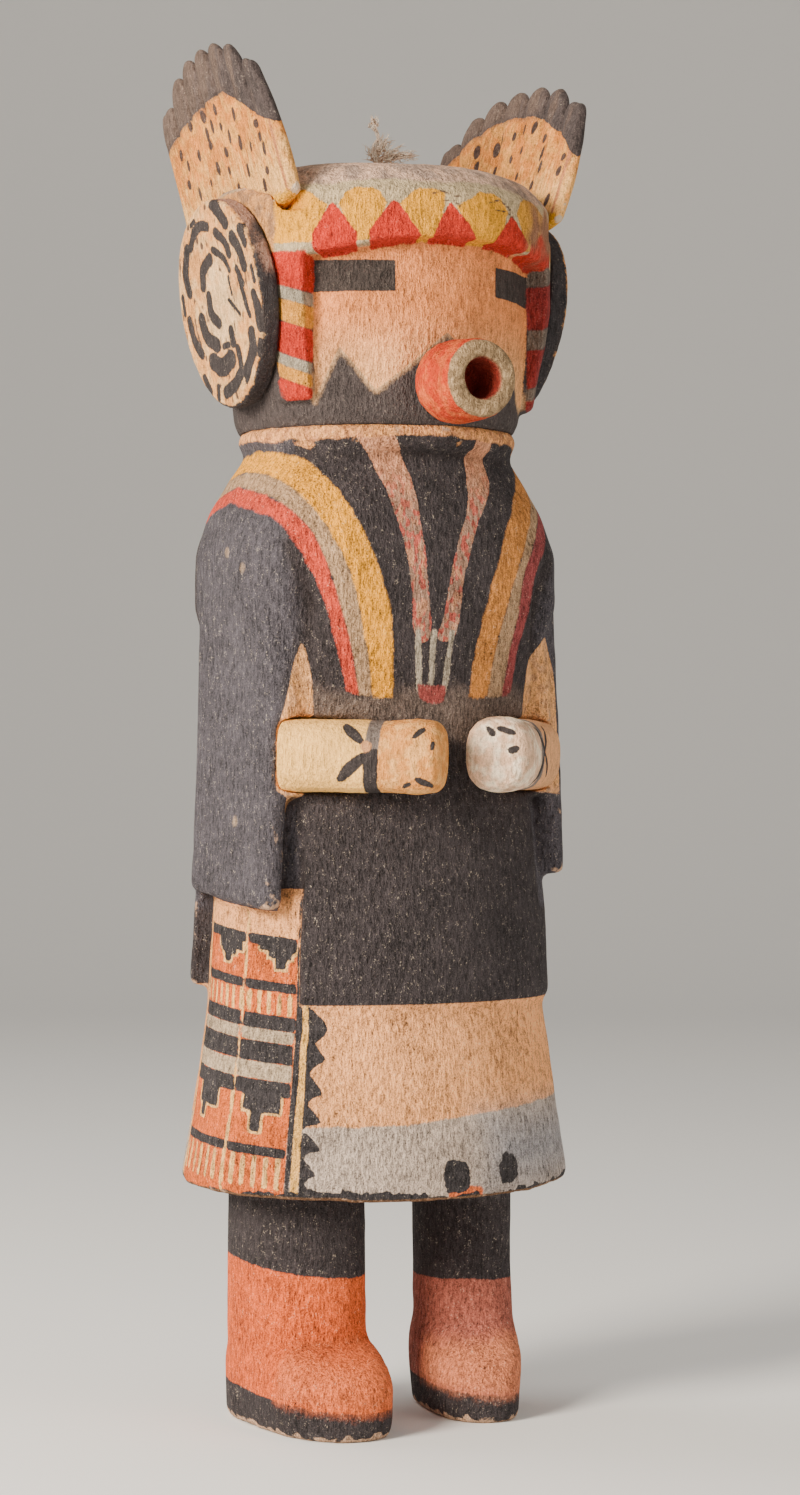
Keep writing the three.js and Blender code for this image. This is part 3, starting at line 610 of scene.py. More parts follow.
def bodyFields(p, normal):
    s = bodySettings
    x, y, z = p.T
    turn = np.degrees(np.arctan2(x, -y))
    side = np.abs(turn)
    radius = np.hypot(x, y)
    arc = bodyArc(side)
    opening, hanging = [], []
    for label, sign in sides.items():
        start, end = (float(bodyArc(edge)) for edge in s["openings"][label])
        opening.append(np.where(x * sign > 0, np.minimum(arc - start, end - arc), outside))
        low, high, thick, deep, lean, sleeveHem, rise = s["sleeves"][label]
        across = x - low - (high - low) * smoothStep(115, 140, z) + lean * (y + 3)
        hanging.append(allOf(z - sleeveHem - rise * (y + 3) + 0.5, thick - np.abs(across),
                             deep - np.abs(y + 3)))
    opening, hanging = anyOf(*opening), anyOf(*hanging)
    behind = side > np.where(x < 0, 82, 91)
    hem = 50.3 + 1.8 * (1 + y / np.maximum(radius, 1))
    kilt = anyOf(np.where(behind, s["backHem"], s["hem"]) - z, allOf(s["kiltTop"] - z, opening))
    kilt = allOf(kilt, z - hem + 0.4, -hanging)
    shoulder = outlineOn(bodyArc, side, z, smoothLine(sleeveLine[:8]) + sleeveLine[8:])
    fields = {
        "kiltOchre": kilt,
        "kiltBlue": allOf(kilt, np.interp(turn, [-180, -53, -20, 11, 69, 180],
                                          [70, 66.6, 66.8, 68.3, 70.5, 70]) - z),
        # painted shade: the kilt's lower blue band grows darker and cooler over the doll's left
        "kiltBluer": allOf(kilt, 70 - z, bodyArc(turn) - 6) - 2.5,
        "worn": allOf(5.5 - np.abs(z - 154.5), 30 - np.abs(x), -y) + noiseAt(p, 5, 21) * 2 - 1.2,
        "sleeveBlue": anyOf(np.minimum(shoulder, z - 112), hanging, allOf(z - 196, side - 66)),
    }
    fields.update(sashFields(turn, z))
    fields["sleeveBlue"] = allOf(fields["sleeveBlue"], 0.3 - fields["kiltOchre"])
    beads = anyOf(*[outlineOn(bodyArc, turn, z, smoothLine(strand, 4)) for strand in beadStrands.values()])
    fields["beads"] = beads
    fields["pendant"] = anyOf(*[strokeOn(bodyArc, turn, z, line, 1.5) for line in pendantLines])
    fields["pendantFoot"] = outlineOn(bodyArc, turn, z, pendantFoot)
    arms = [np.where(x * sign > 0, insideOutline(np.abs(x), z, smoothLine(armPatches[label], 3)), outside)
            for label, sign in sides.items()]
    fields["skin"] = allOf(anyOf(*arms), -y - 14.5)
    lip = s["collar"] + 0.9 + noiseAt(p, 4, 22) * 0.6 + 0.4 * np.cos(np.radians(turn * 3))
    drips = (noiseAt(np.stack([x, y, z * 0.3], 1), 3.2, 23) - 0.45) * 4 - np.maximum(lip - z, 0) * 0.9
    fields["collar"] = allOf(anyOf(z - lip, allOf(drips, 212.9 - z, z - 204)), radius - 24)
    fields.update(panelFields(turn, z, kilt))
    u = bodyArc(turn)
    border = float(bodyArc(-53.8)) - (z - 70) * -0.012
    fields["trimCream"] = allOf(kilt, 0.85 - np.abs(u - border + 0.95))
    edge = allOf(kilt, u + float(bodyArc(s["panelFront"])), border - 1.7 - u)
    fields["trimBlack"] = anyOf(allOf(kilt, outlineOn(bodyArc, turn, z, teeth)), edge)
    ragged = noiseAt(p, 2.6, 5) * 1.0 + noiseAt(p, 0.9, 6) * 0.8
    keep = np.interp(turn, [-180, -103, -100, -60, -50, -24, -10, 5, 30, 55, 70, 180],
                     [0.9, 0.9, -0.2, 0.4, 1.4, 1.3, 0.9, 0.0, 0.3, 0.6, 1.6, 0.8])
    fields["hemBlack"] = allOf(kilt + 1, hem + 0.9 + keep + ragged * 0.9 - z)
    marks = anyOf(*[outlineOn(bodyArc, turn, z, mark) for mark in hemMarks])
    fields["hemMarks"] = marks + noiseAt(p, 0.8, 9) * 0.35 - 0.1
    fields["hemOrange"] = outlineOn(bodyArc, turn, z, hemPatch)
    # legs: black above, the boot, its paler instep, and the sole
    right = x < 0
    bootTop = np.where(right, 32.4 - 0.09 * x + 0.10 * y, 29.4 + 0.5 * np.exp(-((x - 16) / 3) ** 2))
    soleTop = np.where(right, 7.4 - 0.03 * (x + 20) + 0.045 * (y + 5),
                       6.6 + 0.05 * (y + 10) - 0.06 * (x - 18))
    below = hem - 0.4 - z
    fields["boot"] = allOf(below, bootTop - z, z - soleTop)
    instep = np.where(right, 17.5 + 0.2 * (y + 18), 16.2 + 0.13 * (x - 12))
    fields["instep"] = allOf(fields["boot"], instep - z, -y - np.where(right, 14, 4))
    fields["soleChips"] = allOf(below, 1.1 + noiseAt(p, 1.6, 26) * 1.5 - z)
    fields["spots"] = anyOf(*[0.9 - np.hypot(u - float(bodyArc(a)), (z - h) * 0.8) for a, h in rubbedSpots])
    fields["underside"] = allOf(1.6 - np.abs(z - hem - 0.4), -normal[:, 2] * 4 - 2.2)
    return fields


def beadColor(tree):
    # strands of tiny red, gray and tan beads laid side by side
    place = millimetres(tree, (1, 1, 0.55))
    spots = noiseValue(tree, place, 1.15, 1.0)
    color = mixColor(tree, ramp(tree, spots, 0.48, 0.58), tone(160, 124, 104), tone(176, 84, 72))
    second = noiseValue(tree, millimetres(tree, (0.6, 0.6, 0.3)), 0.9, 1.0)
    color = mixColor(tree, ramp(tree, second, 0.54, 0.66), color, tone(192, 136, 104))
    high = put(tree, "SeparateXYZ", {0: millimetres(tree)}).outputs[2]
    return mixColor(tree, ramp(tree, high, 196, 211), color, tone(198, 138, 104))


def bodyMaterial():
    s = bodySettings
    layers = [
        ("worn", s["worn"], 3.0, 2.6),
        ("sleeveBlue", s["sleeveBlue"], 1.2, 1.2),
        ("sashGray", s["sashGray"], 1.0, 0.3),
        # the sashes' red and yellow take darker copies on the doll's left: painted shade on the side turned
        # from the light
        ("sashRed", sided(s["red"], tone(146, 66, 66)), 1.0, 0.35),
        ("sashYellow", sided(s["yellow"], tone(194, 127, 62)), 1.0, 0.35),
        ("beads", beadColor, 0.9, 0.12),
        ("pendant", tone(160, 148, 130), 0.8, 0.15),
        ("pendantFoot", tone(150, 70, 66), 1.0, 0.25),
        ("kiltOchre", s["kiltOchre"], 0.25, 0.15),
        ("kiltBlue", s["kiltBlue"], 1.0, 0.3),
        # painted shade over the kilt's blue band on the doll's left, fading in softly
        ("kiltBluer", tone(155, 151, 153), 3.0, 8.0),
        ("hemOrange", s["instep"], 0.8, 0.3),
        ("hemMarks", s["black"], 0.8, 0.15),
        ("panelOrange", s["orange"], 0.2, 0.12),
        ("panelTop", s["kiltOchre"], 0.3, 0.12),
        ("panelCream", s["cream"], 0.5, 0.12),
        ("panelGray", s["panelGray"], 0.5, 0.12),
        ("panelBlack", s["black"], 0.5, 0.12),
        ("trimCream", tone(234, 178, 96), 0.5, 0.12),
        ("trimBlack", s["black"], 0.5, 0.12),
        ("hemBlack", s["black"], 0.4, 0.15),
        ("underside", s["underside"], 0.5, 0.4),
        # the boot and its instep take darker copies on the doll's left: painted shade on the side turned from
        # the light
        ("boot", sided(s["boot"], tone(170, 95, 79)), 0.7, 0.2),
        ("instep", sided(s["instep"], tone(210, 124, 87)), 3.0, 2.2),
        ("soleChips", s["bare"], 0.9, 0.2),
        ("skin", mottled(s["skin"], tone(206, 152, 108), 2.4), 0.5, 0.15),
        ("collar", mottled(tone(230, 161, 100), tone(194, 132, 87), 1.8), 0.9, 0.3),
        ("spots", tone(150, 128, 108), 0.8, 0.4),
    ]
    finish = {"streak": 2.3, "mottle": 1.0, "specks": 0.55, "pits": 0.3, "wear": 0.02, "bare": s["bare"],
              "soot": 0.75, "rough": 0.88, "bump": 1.0}
    return paintedMaterial("robe paint", s["robeBlack"], layers, finish)


# the head: case mask with its brow band and side strips

headSettings = {
    "bandLow": 255.5, "bandTop": 266, "bandArch": 3.2, "stripEnd": 74.4, "stripLow": 221,
    "strip": {"right": 53.4, "left": 50.2},
    "charcoal": tone(73, 65, 64), "face": tone(229, 141, 81), "black": tone(65, 57, 54),
    "red": tone(193, 47, 30), "yellow": tone(231, 160, 33), "gray": tone(158, 146, 126),
    "ground": tone(190, 168, 132), "rim": tone(212, 174, 148),
    "faceFoot": tone(234, 186, 132), "faceEdge": tone(170, 132, 102),
}
lowerMask = [(-60, 222), (-54.5, 221.4), (-43.8, 232.8), (-29.8, 223.6), (-16, 229.5), (-2, 236.2), (11, 230),
             (20, 225.4), (33, 231.2), (46.5, 223.2), (50.8, 221.6), (60, 221.6), (60, 205), (-60, 205)]
eyes = [[(-54, 244.4), (-22.4, 244.5), (-22.6, 251.1), (-54, 251.3)],
        [(21.2, 244.6), (54, 243.9), (54, 250.8), (21.4, 251)]]
# the band's red triangles as (start, end and tip in degrees, the tip's height)
bandTriangles = [(-50, -36.4, -43.6, 262.6), (-31.6, -15.6, -24.1, 263.2), (-10.4, 4.4, -5.3, 262.9),
                 (13.6, 28.6, 19.9, 261.6),
                 (31.4, 53, 46, 261.8)]
bandCracks = [[(-12, 264.6), (-8, 265.4), (-3, 264.4), (1.5, 264.9)],
              [(-9.5, 263.0), (-5, 263.6), (-2, 262.4)], [(9, 263.6), (14, 264.6), (19, 262.8)],
              [(12, 262.2), (17, 262.4), (21, 260.8)]]
# the middle of each yellow form between two triangles
bandGaps = [-56.5, -34, -13, 9, 30, 64]
# a strip's stripes from the top down, by the height of each lower end at the strip's middle
stripBands = {
    "right": [("red", 245.9), ("gray", 243.0), ("yellow", 238.2), ("red", 231.2), ("gray", 228.6),
              ("yellow", 225.7), ("red", 219)],
    "left": [("gray", 251.1), ("red", 241.6), ("gray", 237.2), ("red", 228.8), ("gray", 226.0), ("red", 219)],
}


def headFields(p, normal):
    s = headSettings
    x, y, z = p.T
    turn = np.degrees(np.arctan2(x, -y))
    side = np.abs(turn)
    radius = np.hypot(x, y)
    arc = headArc(turn)
    droop = s["bandArch"] * smoothStep(12, 54.6, side)
    bandLow = s["bandLow"] - droop
    inner = np.where(x < 0, s["strip"]["right"], s["strip"]["left"])
    face = allOf((inner - side) * 0.62, bandLow + 0.2 - z, -outlineOn(headArc, turn, z, lowerMask))
    strip = allOf((side - inner) * 0.62, (s["stripEnd"] - side) * 0.62, z - s["stripLow"],
                  radius - 33.9 + (z < 226) * 0.6)
    strip = anyOf(strip, allOf(0.8 - np.abs(side - inner - 0.4), radius - 33.6, z - s["stripLow"]))
    strip = allOf(strip, bandLow + 0.6 - z)
    band = z - bandLow + 0.1
    rimLow = s["bandTop"] + 1.4 + noiseAt(p, 7, 12) * 0.8 - 3.0 * smoothStep(14, 60, turn) * (turn < 90)
    fields = {
        "face": face,
        "faceShade": allOf(face, 2.2 + outlineOn(headArc, turn, z, lowerMask)) + 0.6,
        "eyes": allOf(face + 0.2, anyOf(*[outlineOn(headArc, turn, z, eye) for eye in eyes])),
        "bandGround": band,
        "rim": z - rimLow,
    }
    triangles, shapes = [], []
    for start, end, tip, top in bandTriangles:
        low = 251
        corners = [(start, low), (start - 0.6, 256.2), (tip - 1, top - 0.4), (tip, top),
                   (tip + 1.2, top - 0.6), (end + 0.6, 256), (end, low)]
        triangles.append(outlineOn(headArc, turn, z, corners))
    feet = [-66, *itertools.chain(*[(start, end) for start, end, _, _ in bandTriangles]), 74]
    tips = [-70, *[tip for _, _, tip, _ in bandTriangles], 78]
    for i, middle in enumerate(bandGaps):
        # a round-topped form that fills the space between two triangles
        outline = [(feet[2 * i], 254.6), (tips[i] + 2.0, 262.3), (middle - 5.6, 264.8), (middle - 2.6, 265.8),
                   (middle + 2.6, 265.8), (middle + 5.6, 264.8), (tips[i + 1] - 2.0, 262.3),
                   (feet[2 * i + 1], 254.6)]
        shapes.append(outlineOn(headArc, turn, z, outline))
    fields["bandYellow"] = allOf(band + 0.4, anyOf(*shapes), 72 - side)
    fields["bandSide"] = allOf(band, side - 64, s["bandTop"] + 1.6 - z) + noiseAt(p, 3, 27)
    cracks = [strokeOn(headArc, turn, z, line, 0.35) for line in bandCracks]
    fields["cracks"] = anyOf(*cracks) + noiseAt(p, 0.8, 24) * 0.15
    # painted shade: the brow band darkens softly over the doll's left, the side turned from the light
    fields["bandDirt"] = allOf(band, s["bandTop"] + 1 - z, arc - 17) - 3 + noiseAt(p, 3, 25) * 3
    fields["bandRed"] = allOf(band + 0.8, anyOf(*triangles))
    slope = z - 0.21 * (side - 62)
    for name in ("red", "gray", "yellow"):
        bySide = []
        for label, sign in sides.items():
            top, found = 270.0, [np.full(len(z), outside)]
            for color, low in stripBands[label]:
                if color == name:
                    found.append(allOf(top - slope, slope - low))
                top = low
            bySide.append(np.where(turn * sign > 0, anyOf(*found), outside))
        fields["strip" + name.title()] = allOf(strip, anyOf(*bySide))
    return fields


def facePaint(upper):
    # the face grows paler and yellower towards its foot
    def color(tree):
        high = put(tree, "SeparateXYZ", {0: millimetres(tree)}).outputs[2]
        return mixColor(tree, ramp(tree, high, 243, 226, 0.0, 0.55), upper, headSettings["faceFoot"])
    return color


def headMaterial():
    s = headSettings
    bandTurn = (8, 30)  # the darker left copies of the paint, painted shade, come in between these, in mm to the doll's left
    layers = [
        ("face", facePaint(s["face"]), 0.5, 0.15),
        ("faceShade", facePaint(s["faceEdge"]), 1.4, 0.9),
        ("face", facePaint(s["face"]), 0.2, 0.1),
        ("eyes", s["black"], 0.35, 0.12),
        ("bandGround", s["ground"], 0.3, 0.12),
        # the band's yellow and the strips' gray and red take darker copies on the doll's left: painted shade
        # on the side turned from the light
        ("bandYellow", sided(s["yellow"], tone(196, 142, 78), *bandTurn), 0.9, 0.2),
        ("bandRed", s["red"], 0.8, 0.18),
        ("bandSide", mottled(tone(206, 146, 88), tone(160, 118, 84), 3.0), 1.4, 0.8),
        # painted shade over the band's left side
        ("bandDirt", tone(150, 104, 76), 2.4, 3.0),
        ("cracks", tone(96, 74, 62), 0.3, 0.15),
        ("rim", mottled(s["rim"], tone(168, 142, 126), 5.0), 1.4, 0.5),
        ("stripGray", sided(s["gray"], tone(112, 98, 88), *bandTurn), 0.9, 0.3),
        ("stripYellow", tone(214, 146, 52), 0.9, 0.3),
        ("stripRed", sided(s["red"], tone(136, 46, 44), *bandTurn), 0.9, 0.3),
    ]
    finish = {"streak": 1.6, "mottle": 0.9, "specks": 0.2, "pits": 0.35, "wear": -0.02,
              "bare": tone(206, 178, 142), "soot": 0.75, "rough": 0.88, "bump": 1.0}
    return paintedMaterial("mask paint", s["charcoal"], layers, finish)


# mouth tube

mouthSettings = {
    "height": 225.3, "endY": -44.7, "bore": 4.5, "red": tone(200, 59, 24), "orange": tone(214, 95, 46),
    "endDark": tone(146, 120, 88), "endPale": tone(182, 152, 114), "hole": tone(150, 48, 34),
    "bare": tone(216, 170, 120),
}


def mouthFields(p, normal):
    s = mouthSettings
    x, y, z = p.T
    radius = np.hypot(x, z - s["height"])
    return {"mouthEnd": allOf(s["endY"] - y, radius - s["bore"] + 0.3),
            "mouthHole": allOf(s["bore"] - radius, -y - 30)}


def mouthMaterial():
    s = mouthSettings
    layers = [
        ("mouthEnd", mottled(s["endDark"], s["endPale"], 1.2), 0.6, 0.25),
        ("mouthHole", s["hole"], 0.4, 0.3),
    ]
    finish = {"streak": 1.1, "mottle": 0.9, "specks": 0.08, "pits": 0.4, "wear": -0.16, "bare": s["bare"],
              "soot": 0.8, "rough": 0.86, "bump": 1.1}
    return paintedMaterial("mouth paint", mottled(s["red"], s["orange"], 3.4), layers, finish)


# ear discs

earSettings = {
    "lean": 8.5, "middleX": 36.3, "middleZ": 244, "behind": 1, "halfDepth": 19, "halfHeight": 22.6,
    "cream": tone(232, 192, 140), "ochre": tone(218, 152, 88), "black": tone(56, 50, 50),
    "bare": tone(150, 116, 100),
}
# dashes on a disc's face: points forward of and above its middle in mm, then the brush's width
earDashes = [
    ([(-18.0, 18.2), (-15.2, 19.9)], 1.7), ([(-18.9, 13.4), (-18.2, 16.0)], 1.6),
    ([(-10.8, 13.2), (-8.6, 15.9), (-5.2, 17.2), (-1.9, 16.6)], 1.7),
    ([(1.8, 21.0), (4.5, 18.9), (6.6, 16.4)], 2.2), ([(-12.6, 12.9), (-14.8, 8.2), (-14.1, 3.6)], 2.0),
    ([(-2.5, 9.7), (-6.4, 7.6), (-7.4, 4.4)], 2.1), ([(1.6, 15.0), (5.1, 12.7), (6.3, 9.8)], 1.7),
    ([(8.8, 13.2), (11.2, 10.0), (12.6, 6.6)], 2.3), ([(-0.8, 11.5), (3.4, 9.5), (5.6, 6.4)], 1.2),
    ([(-5.4, 1.8), (-5.2, -1.9), (-2.2, -4.3)], 2.0), ([(-9.9, -2.8), (-8.5, -6.6), (-4.2, -8.9)], 2.4),
    ([(-15.8, -2.4), (-14.6, -6.7), (-11.8, -10.2)], 1.9),
    ([(-6.9, -12.2), (-3.1, -13.8), (1.6, -12.4)], 3.0), ([(-2.9, -19.3), (1.5, -18.0), (5.0, -15.7)], 2.2),
    ([(12.0, -7.7), (11.4, -11.5), (7.4, -15.7)], 2.4), ([(15.4, 0.2), (16.1, -3.2), (16.0, -6.6)], 2.0),
    ([(9.5, 4.5), (10.8, 0.0), (12.2, -4.0)], 1.2), ([(2.8, -6.4), (3.3, -8.9)], 1.9),
    ([(4.9, -10.7), (5.4, -13.8)], 1.7), ([(-12.0, -15.3), (-10.2, -18.4)], 1.5),
    ([(-6.2, -17.8), (-6.6, -20.2)], 1.2), ([(4.8, 5.0), (5.3, 1.4)], 0.8), ([(3.7, 0.2), (7.9, -3.3)], 0.7),
    ([(8.9, 6.4), (11.2, 3.0)], 1.2), ([(-9.6, 17.9), (-7.6, 18.6)], 0.9),
    ([(6.9, -17.8), (9.4, -15.2)], 1.0), ([(13.9, -12.6), (15.0, -9.6)], 0.9),
    ([(-17.6, 3.0), (-17.4, -0.8)], 1.0), ([(12.3, 14.6), (14.2, 11.2)], 1.5),
    ([(15.9, 6.0), (16.6, 3.0)], 1.1), ([(-1.2, -9.4), (1.2, -9.2)], 1.0),
]


def earFields(side):
    def fields(p, normal):
        s = earSettings
        lean = math.radians(s["lean"])
        outward = np.array([side * math.cos(lean), 0, -math.sin(lean)])
        upward = np.array([side * math.sin(lean), 0, math.cos(lean)])
        offset = p - (side * s["middleX"], 0, s["middleZ"])
        depth, u, v = offset @ outward, -p[:, 1], offset @ upward
        reach = np.hypot((u + s["behind"]) / (s["halfDepth"] * (1 + 0.06 * v / s["halfHeight"])),
                         v / s["halfHeight"])
        dashes = anyOf(*[width * 0.7 - lineDistance(u, v, smoothLine(points)) for points, width in earDashes])
        fine = noiseAt(np.stack([u * 2.6, v, depth], 1), 1.6, 31)
        rings = 0.5 + 0.5 * np.cos(reach * 19)
        return {
            "earFace": allOf(depth - 1.5, (0.985 - reach) * 20),
            "earStroke": allOf(fine * 1.4 - 0.78 + rings * 0.35, depth - 1.5, (0.95 - reach) * 20,
                               (reach - 0.32) * 20),
            "earDash": allOf(dashes, depth - 1.3),
            "earPale": allOf((0.34 - np.hypot((u + 0.5) / 21, (v + 0.8) / 25)) * 20, depth - 1.4),
            "earBare": allOf(noiseAt(p, 6, 32) * 2 - 0.4 + (v - 6) * 0.12 - (side > 0) * 2, 1.9 - depth,
                             depth + 2),
        }
    return fields


def earMaterial():
    s = earSettings
    layers = [
        ("earBare", s["bare"], 1.6, 0.8),
        ("earFace", mottled(s["ochre"], tone(226, 178, 122), 5.0), 0.8, 0.2),
        ("earPale", s["cream"], 4.0, 2.4),
        ("earStroke", tone(96, 72, 58), 0.5, 0.25),
        ("earDash", s["black"], 0.7, 0.14),
    ]
    finish = {"streak": 1.4, "mottle": 0.8, "specks": 0.2, "pits": 0.4, "wear": -0.08,
              "bare": tone(184, 148, 122), "soot": 0.7, "rough": 0.86, "bump": 0.8}
    return paintedMaterial("ear paint", tone(54, 50, 52), layers, finish)


# feather fans

# a fan's spots, forward of the doll's axis and above the soles in mm
fanSpots = {
    "right": [(-1.6, 285.6), (-8.6, 285.1), (-16.2, 284.2), (6.9, 283.4), (15.9, 280.1), (-4.8, 282.6),
              (-0.6, 281.8), (-8.1, 281.4), (-7.6, 278.9), (6.9, 277.4), (16.2, 277.3), (17.0, 274.7),
              (-0.7, 276.5), (-14.5, 277.6), (-23.6, 279.1), (-20.7, 276.3), (-6.1, 273.8), (-1.2, 272.6),
              (7.5, 271.7), (15.9, 270.3), (13.3, 267.4), (-10.8, 271.2), (-17.2, 269.6), (-21.7, 272.3),
              (2.4, 279.4), (11.4, 276.0), (1.5, 268.4), (-6.0, 267.2)],
    "left": [(1.2, 287.4), (5.6, 287.3), (-1.8, 286.2), (-7.1, 286.6), (10.8, 284.1), (-8.3, 283.9),
             (2.3, 282.5), (11.4, 280.3), (20.7, 278.4), (-16.6, 284.8), (-0.9, 280.7), (12.1, 277.3),
             (20.3, 275.3), (-15.3, 281.0), (-6.8, 278.6), (10.3, 273.4), (18.7, 268.9), (3.2, 276.2),
             (-11.4, 276.4), (-2.6, 274.0)],
}
fanTips = {
    "right": [(-30, 280), (-24.0, 283.0), (-15.8, 285.5), (-8.5, 287.1), (-0.9, 288.2), (4.5, 288.6),
              (7.5, 286.9), (13.3, 284.3), (17.0, 281.9), (23.0, 279.7), (26, 279)],
    "left": [(-30, 281), (-27.0, 283.6), (-23.6, 286.1), (-17.8, 288.6), (-10.6, 290.5), (-3.3, 290.8),
             (4.4, 290.0), (11.3, 287.3), (19.2, 282.6), (23.5, 278.6), (26, 276)],
}
fanSettings = {
    "ochre": tone(202, 125, 54), "ochrePale": tone(214, 148, 73), "pale": tone(225, 171, 101),
    "edge": tone(176, 112, 74), "yellow": tone(222, 160, 40), "spot": tone(74, 56, 50),
    # the last tip colour is a painted highlight on the lit flank of each feather tip
    "tip": tone(70, 61, 60), "tipGray": tone(84, 72, 69), "tipPale": tone(94, 78, 70),
    "bare": tone(208, 186, 160),
    # the fan's outline in mm: its foot's height, its edges before the axis at foot and top, and the
    # feathers' tops
    "feathers": 7, "thick": 3.2, "foot": 262, "front": (23.2, 22.4), "rear": (-27.7, -33.4), "lobe": 4.2,
    "tips": (293, 297.6, 299.2, 299.1, 298, 295.1, 289.1), "leftDrop": 1.9, "columns": 168, "rows": 76,
}


def fanPoints(side):
    # the fan's two faces as a grid: across from front to rear, and up from the foot to the rounded
    # feather tips
    f = fanSettings
    s, t = np.meshgrid(np.linspace(0, 1, f["columns"] + 1), 1 - (1 - np.linspace(0, 1, f["rows"] + 1)) ** 1.7)
    count = f["feathers"]
    feather = np.minimum((s * count).astype(int), count - 1)
    across = (s * count - feather) * 2 - 1
    tips = np.array(f["tips"])
    beside = tips[np.clip(feather + np.sign(across).astype(int), 0, count - 1)]
    height = tips[feather] + (beside - tips[feather]) * np.abs(across) / 2
    top = height - f["lobe"] * (1 - np.sqrt(1 - 0.95 * across ** 2))
    top -= f["lobe"] * 0.7 * (1 - smoothStep(0, 0.045, np.minimum(s, 1 - s)))
    z = f["foot"] + (top - f["foot"]) * t
    spread = t ** 1.6
    front = f["front"][0] + (f["front"][1] - f["front"][0]) * spread + 1.6 * np.sin(np.pi * t)
    front -= 9 * (1 - smoothStep(0, 0.15, t))
    u = front + (f["rear"][0] + (f["rear"][1] - f["rear"][0]) * spread - front) * s
    groove = 1 - 0.62 * np.abs(across) ** 3 * smoothStep(0.3, 0.85, t)
    edge = np.minimum(np.minimum(s, 1 - s) * 52 / 1.5, (top - z) / 1.3)
    half = (f["thick"] / 2 * groove * (1 - 0.3 * smoothStep(0.75, 1, t))
            * np.sqrt(1 - (1 - np.clip(edge, 0.03, 1)) ** 2))
    middle = 32.5 + 0.267 * (z - 265) + u * (0.007 + 0.0026 * (z - 265))
    drop = f["leftDrop"] if side > 0 else 0
    return [np.stack([side * (middle + way * half), -u, z - drop], -1).reshape(-1, 3) for way in (1, -1)]


def buildFan(name, side):
    faces = fanPoints(side)
    wide, tall = fanSettings["columns"] + 1, fanSettings["rows"] + 1
    index = np.arange(wide * tall).reshape(tall, wide)
    quads = np.stack([index[:-1, :-1], index[:-1, 1:], index[1:, 1:], index[1:, :-1]], -1).reshape(-1, 4)
    rim = np.concatenate([index[0], index[1:, -1], index[-1, -2::-1], index[-2:0:-1, 0]])
    after, other = np.roll(rim, -1), wide * tall
    sides = np.stack([after, rim, rim + other, after + other], -1)
    quads = np.concatenate([quads, quads[:, ::-1] + other, sides])
    points = np.concatenate(faces) * mm + (0, axisY, 0)
    return addMesh(name, points.tolist(), (quads if side > 0 else quads[:, ::-1]).tolist())


def fanFields(side):
    label = sideName(side)

    def fields(p, normal):
        x, y, z = p.T
        u = -y
        line = fanTips[label]
        edge = z - np.interp(u, [a for a, _ in line], [b for _, b in line])
        spots = []
        for i, (su, sz) in enumerate(fanSpots[label]):
            lean = (0.10 + 0.05 * math.sin(i * 2.1)) * (1 if su > 0 else -1)
            wide, tall = 0.75 + 0.2 * math.sin(i * 1.7), 1.35 + 0.4 * math.sin(i * 2.9)
            du, dz = (u - su) - lean * (z - sz), z - sz
            spots.append((1 - np.hypot(du / wide, dz / tall)) * wide)
        column = (u + 31) / 7.9
        fibre = noiseAt(np.stack([u * 3.2, z * 0.5, x * 0.2], 1), 1.4, 41)
        return {
            "fanTip": edge,
            "fanSpots": anyOf(*spots),
            "fanPale": fibre * 1.6 + (271 - z) * 0.22 + (u - 2) * 0.03,
            # painted highlight: a paler stripe on the lit flank of each feather tip, stronger towards the
            # rear
            "fanTipPale": allOf(edge - 0.6,
                                np.sin(column * 2 * math.pi) * 1.1 - 0.1 - (u - 4) * 0.09 + fibre),
            "fanTipGray": allOf(edge, 6 - u + fibre * 2),
            "fanEdge": allOf(0.5 - np.abs(u - 22.6 + (279 - z) * 0.02), 281 - z),
            "fanFoot": allOf(u - 10, 265.4 + fibre - z),
        }
    return fields


def fanMaterial():
    s = fanSettings
    layers = [
        ("fanPale", s["pale"], 1.6, 1.3),
        ("fanEdge", s["edge"], 0.8, 0.5),
        ("fanFoot", s["yellow"], 1.2, 0.5),
        ("fanSpots", s["spot"], 0.45, 0.12),
        ("fanTip", s["tip"], 0.6, 0.15),
        ("fanTipGray", s["tipGray"], 2.0, 1.6),
        # painted highlight on the feather tips' lit flanks
        ("fanTipPale", s["tipPale"], 1.2, 0.9),
    ]
    finish = {"streak": 1.8, "mottle": 0.8, "specks": 0.25, "pits": 0.3, "wear": -0.02, "bare": s["bare"],
              "soot": 0.7, "rough": 0.84, "bump": 0.7}
    return paintedMaterial("feather paint", mottled(s["ochre"], s["ochrePale"], 4.0), layers, finish)


# forearms and hands

handSettings = {
    "elbow": {"right": (-31.6, -15.4, 145.6), "left": (30.8, -15.4, 145.6)},
    "hand": {"right": (-5.5, -39.0, 145.3), "left": (7.3, -38.4, 145.9)},
    # the left forearm's skin is a darker copy of the right's: painted shade on the side turned from the light
    "skin": {"right": tone(249, 193, 108), "left": tone(226, 166, 116)},
    "fist": tone(222, 147, 73), "fistPale": tone(240, 175, 101),
    "paleFist": tone(248, 227, 198), "paleShade": tone(219, 180, 148), "black": tone(56, 50, 50),
}


def armAxis(side):
    # the elbow, and the direction from it to the hand
    elbow, hand = (np.array(handSettings[end][sideName(side)]) for end in ("elbow", "hand"))
    return elbow, (hand - elbow) / np.linalg.norm(hand - elbow)


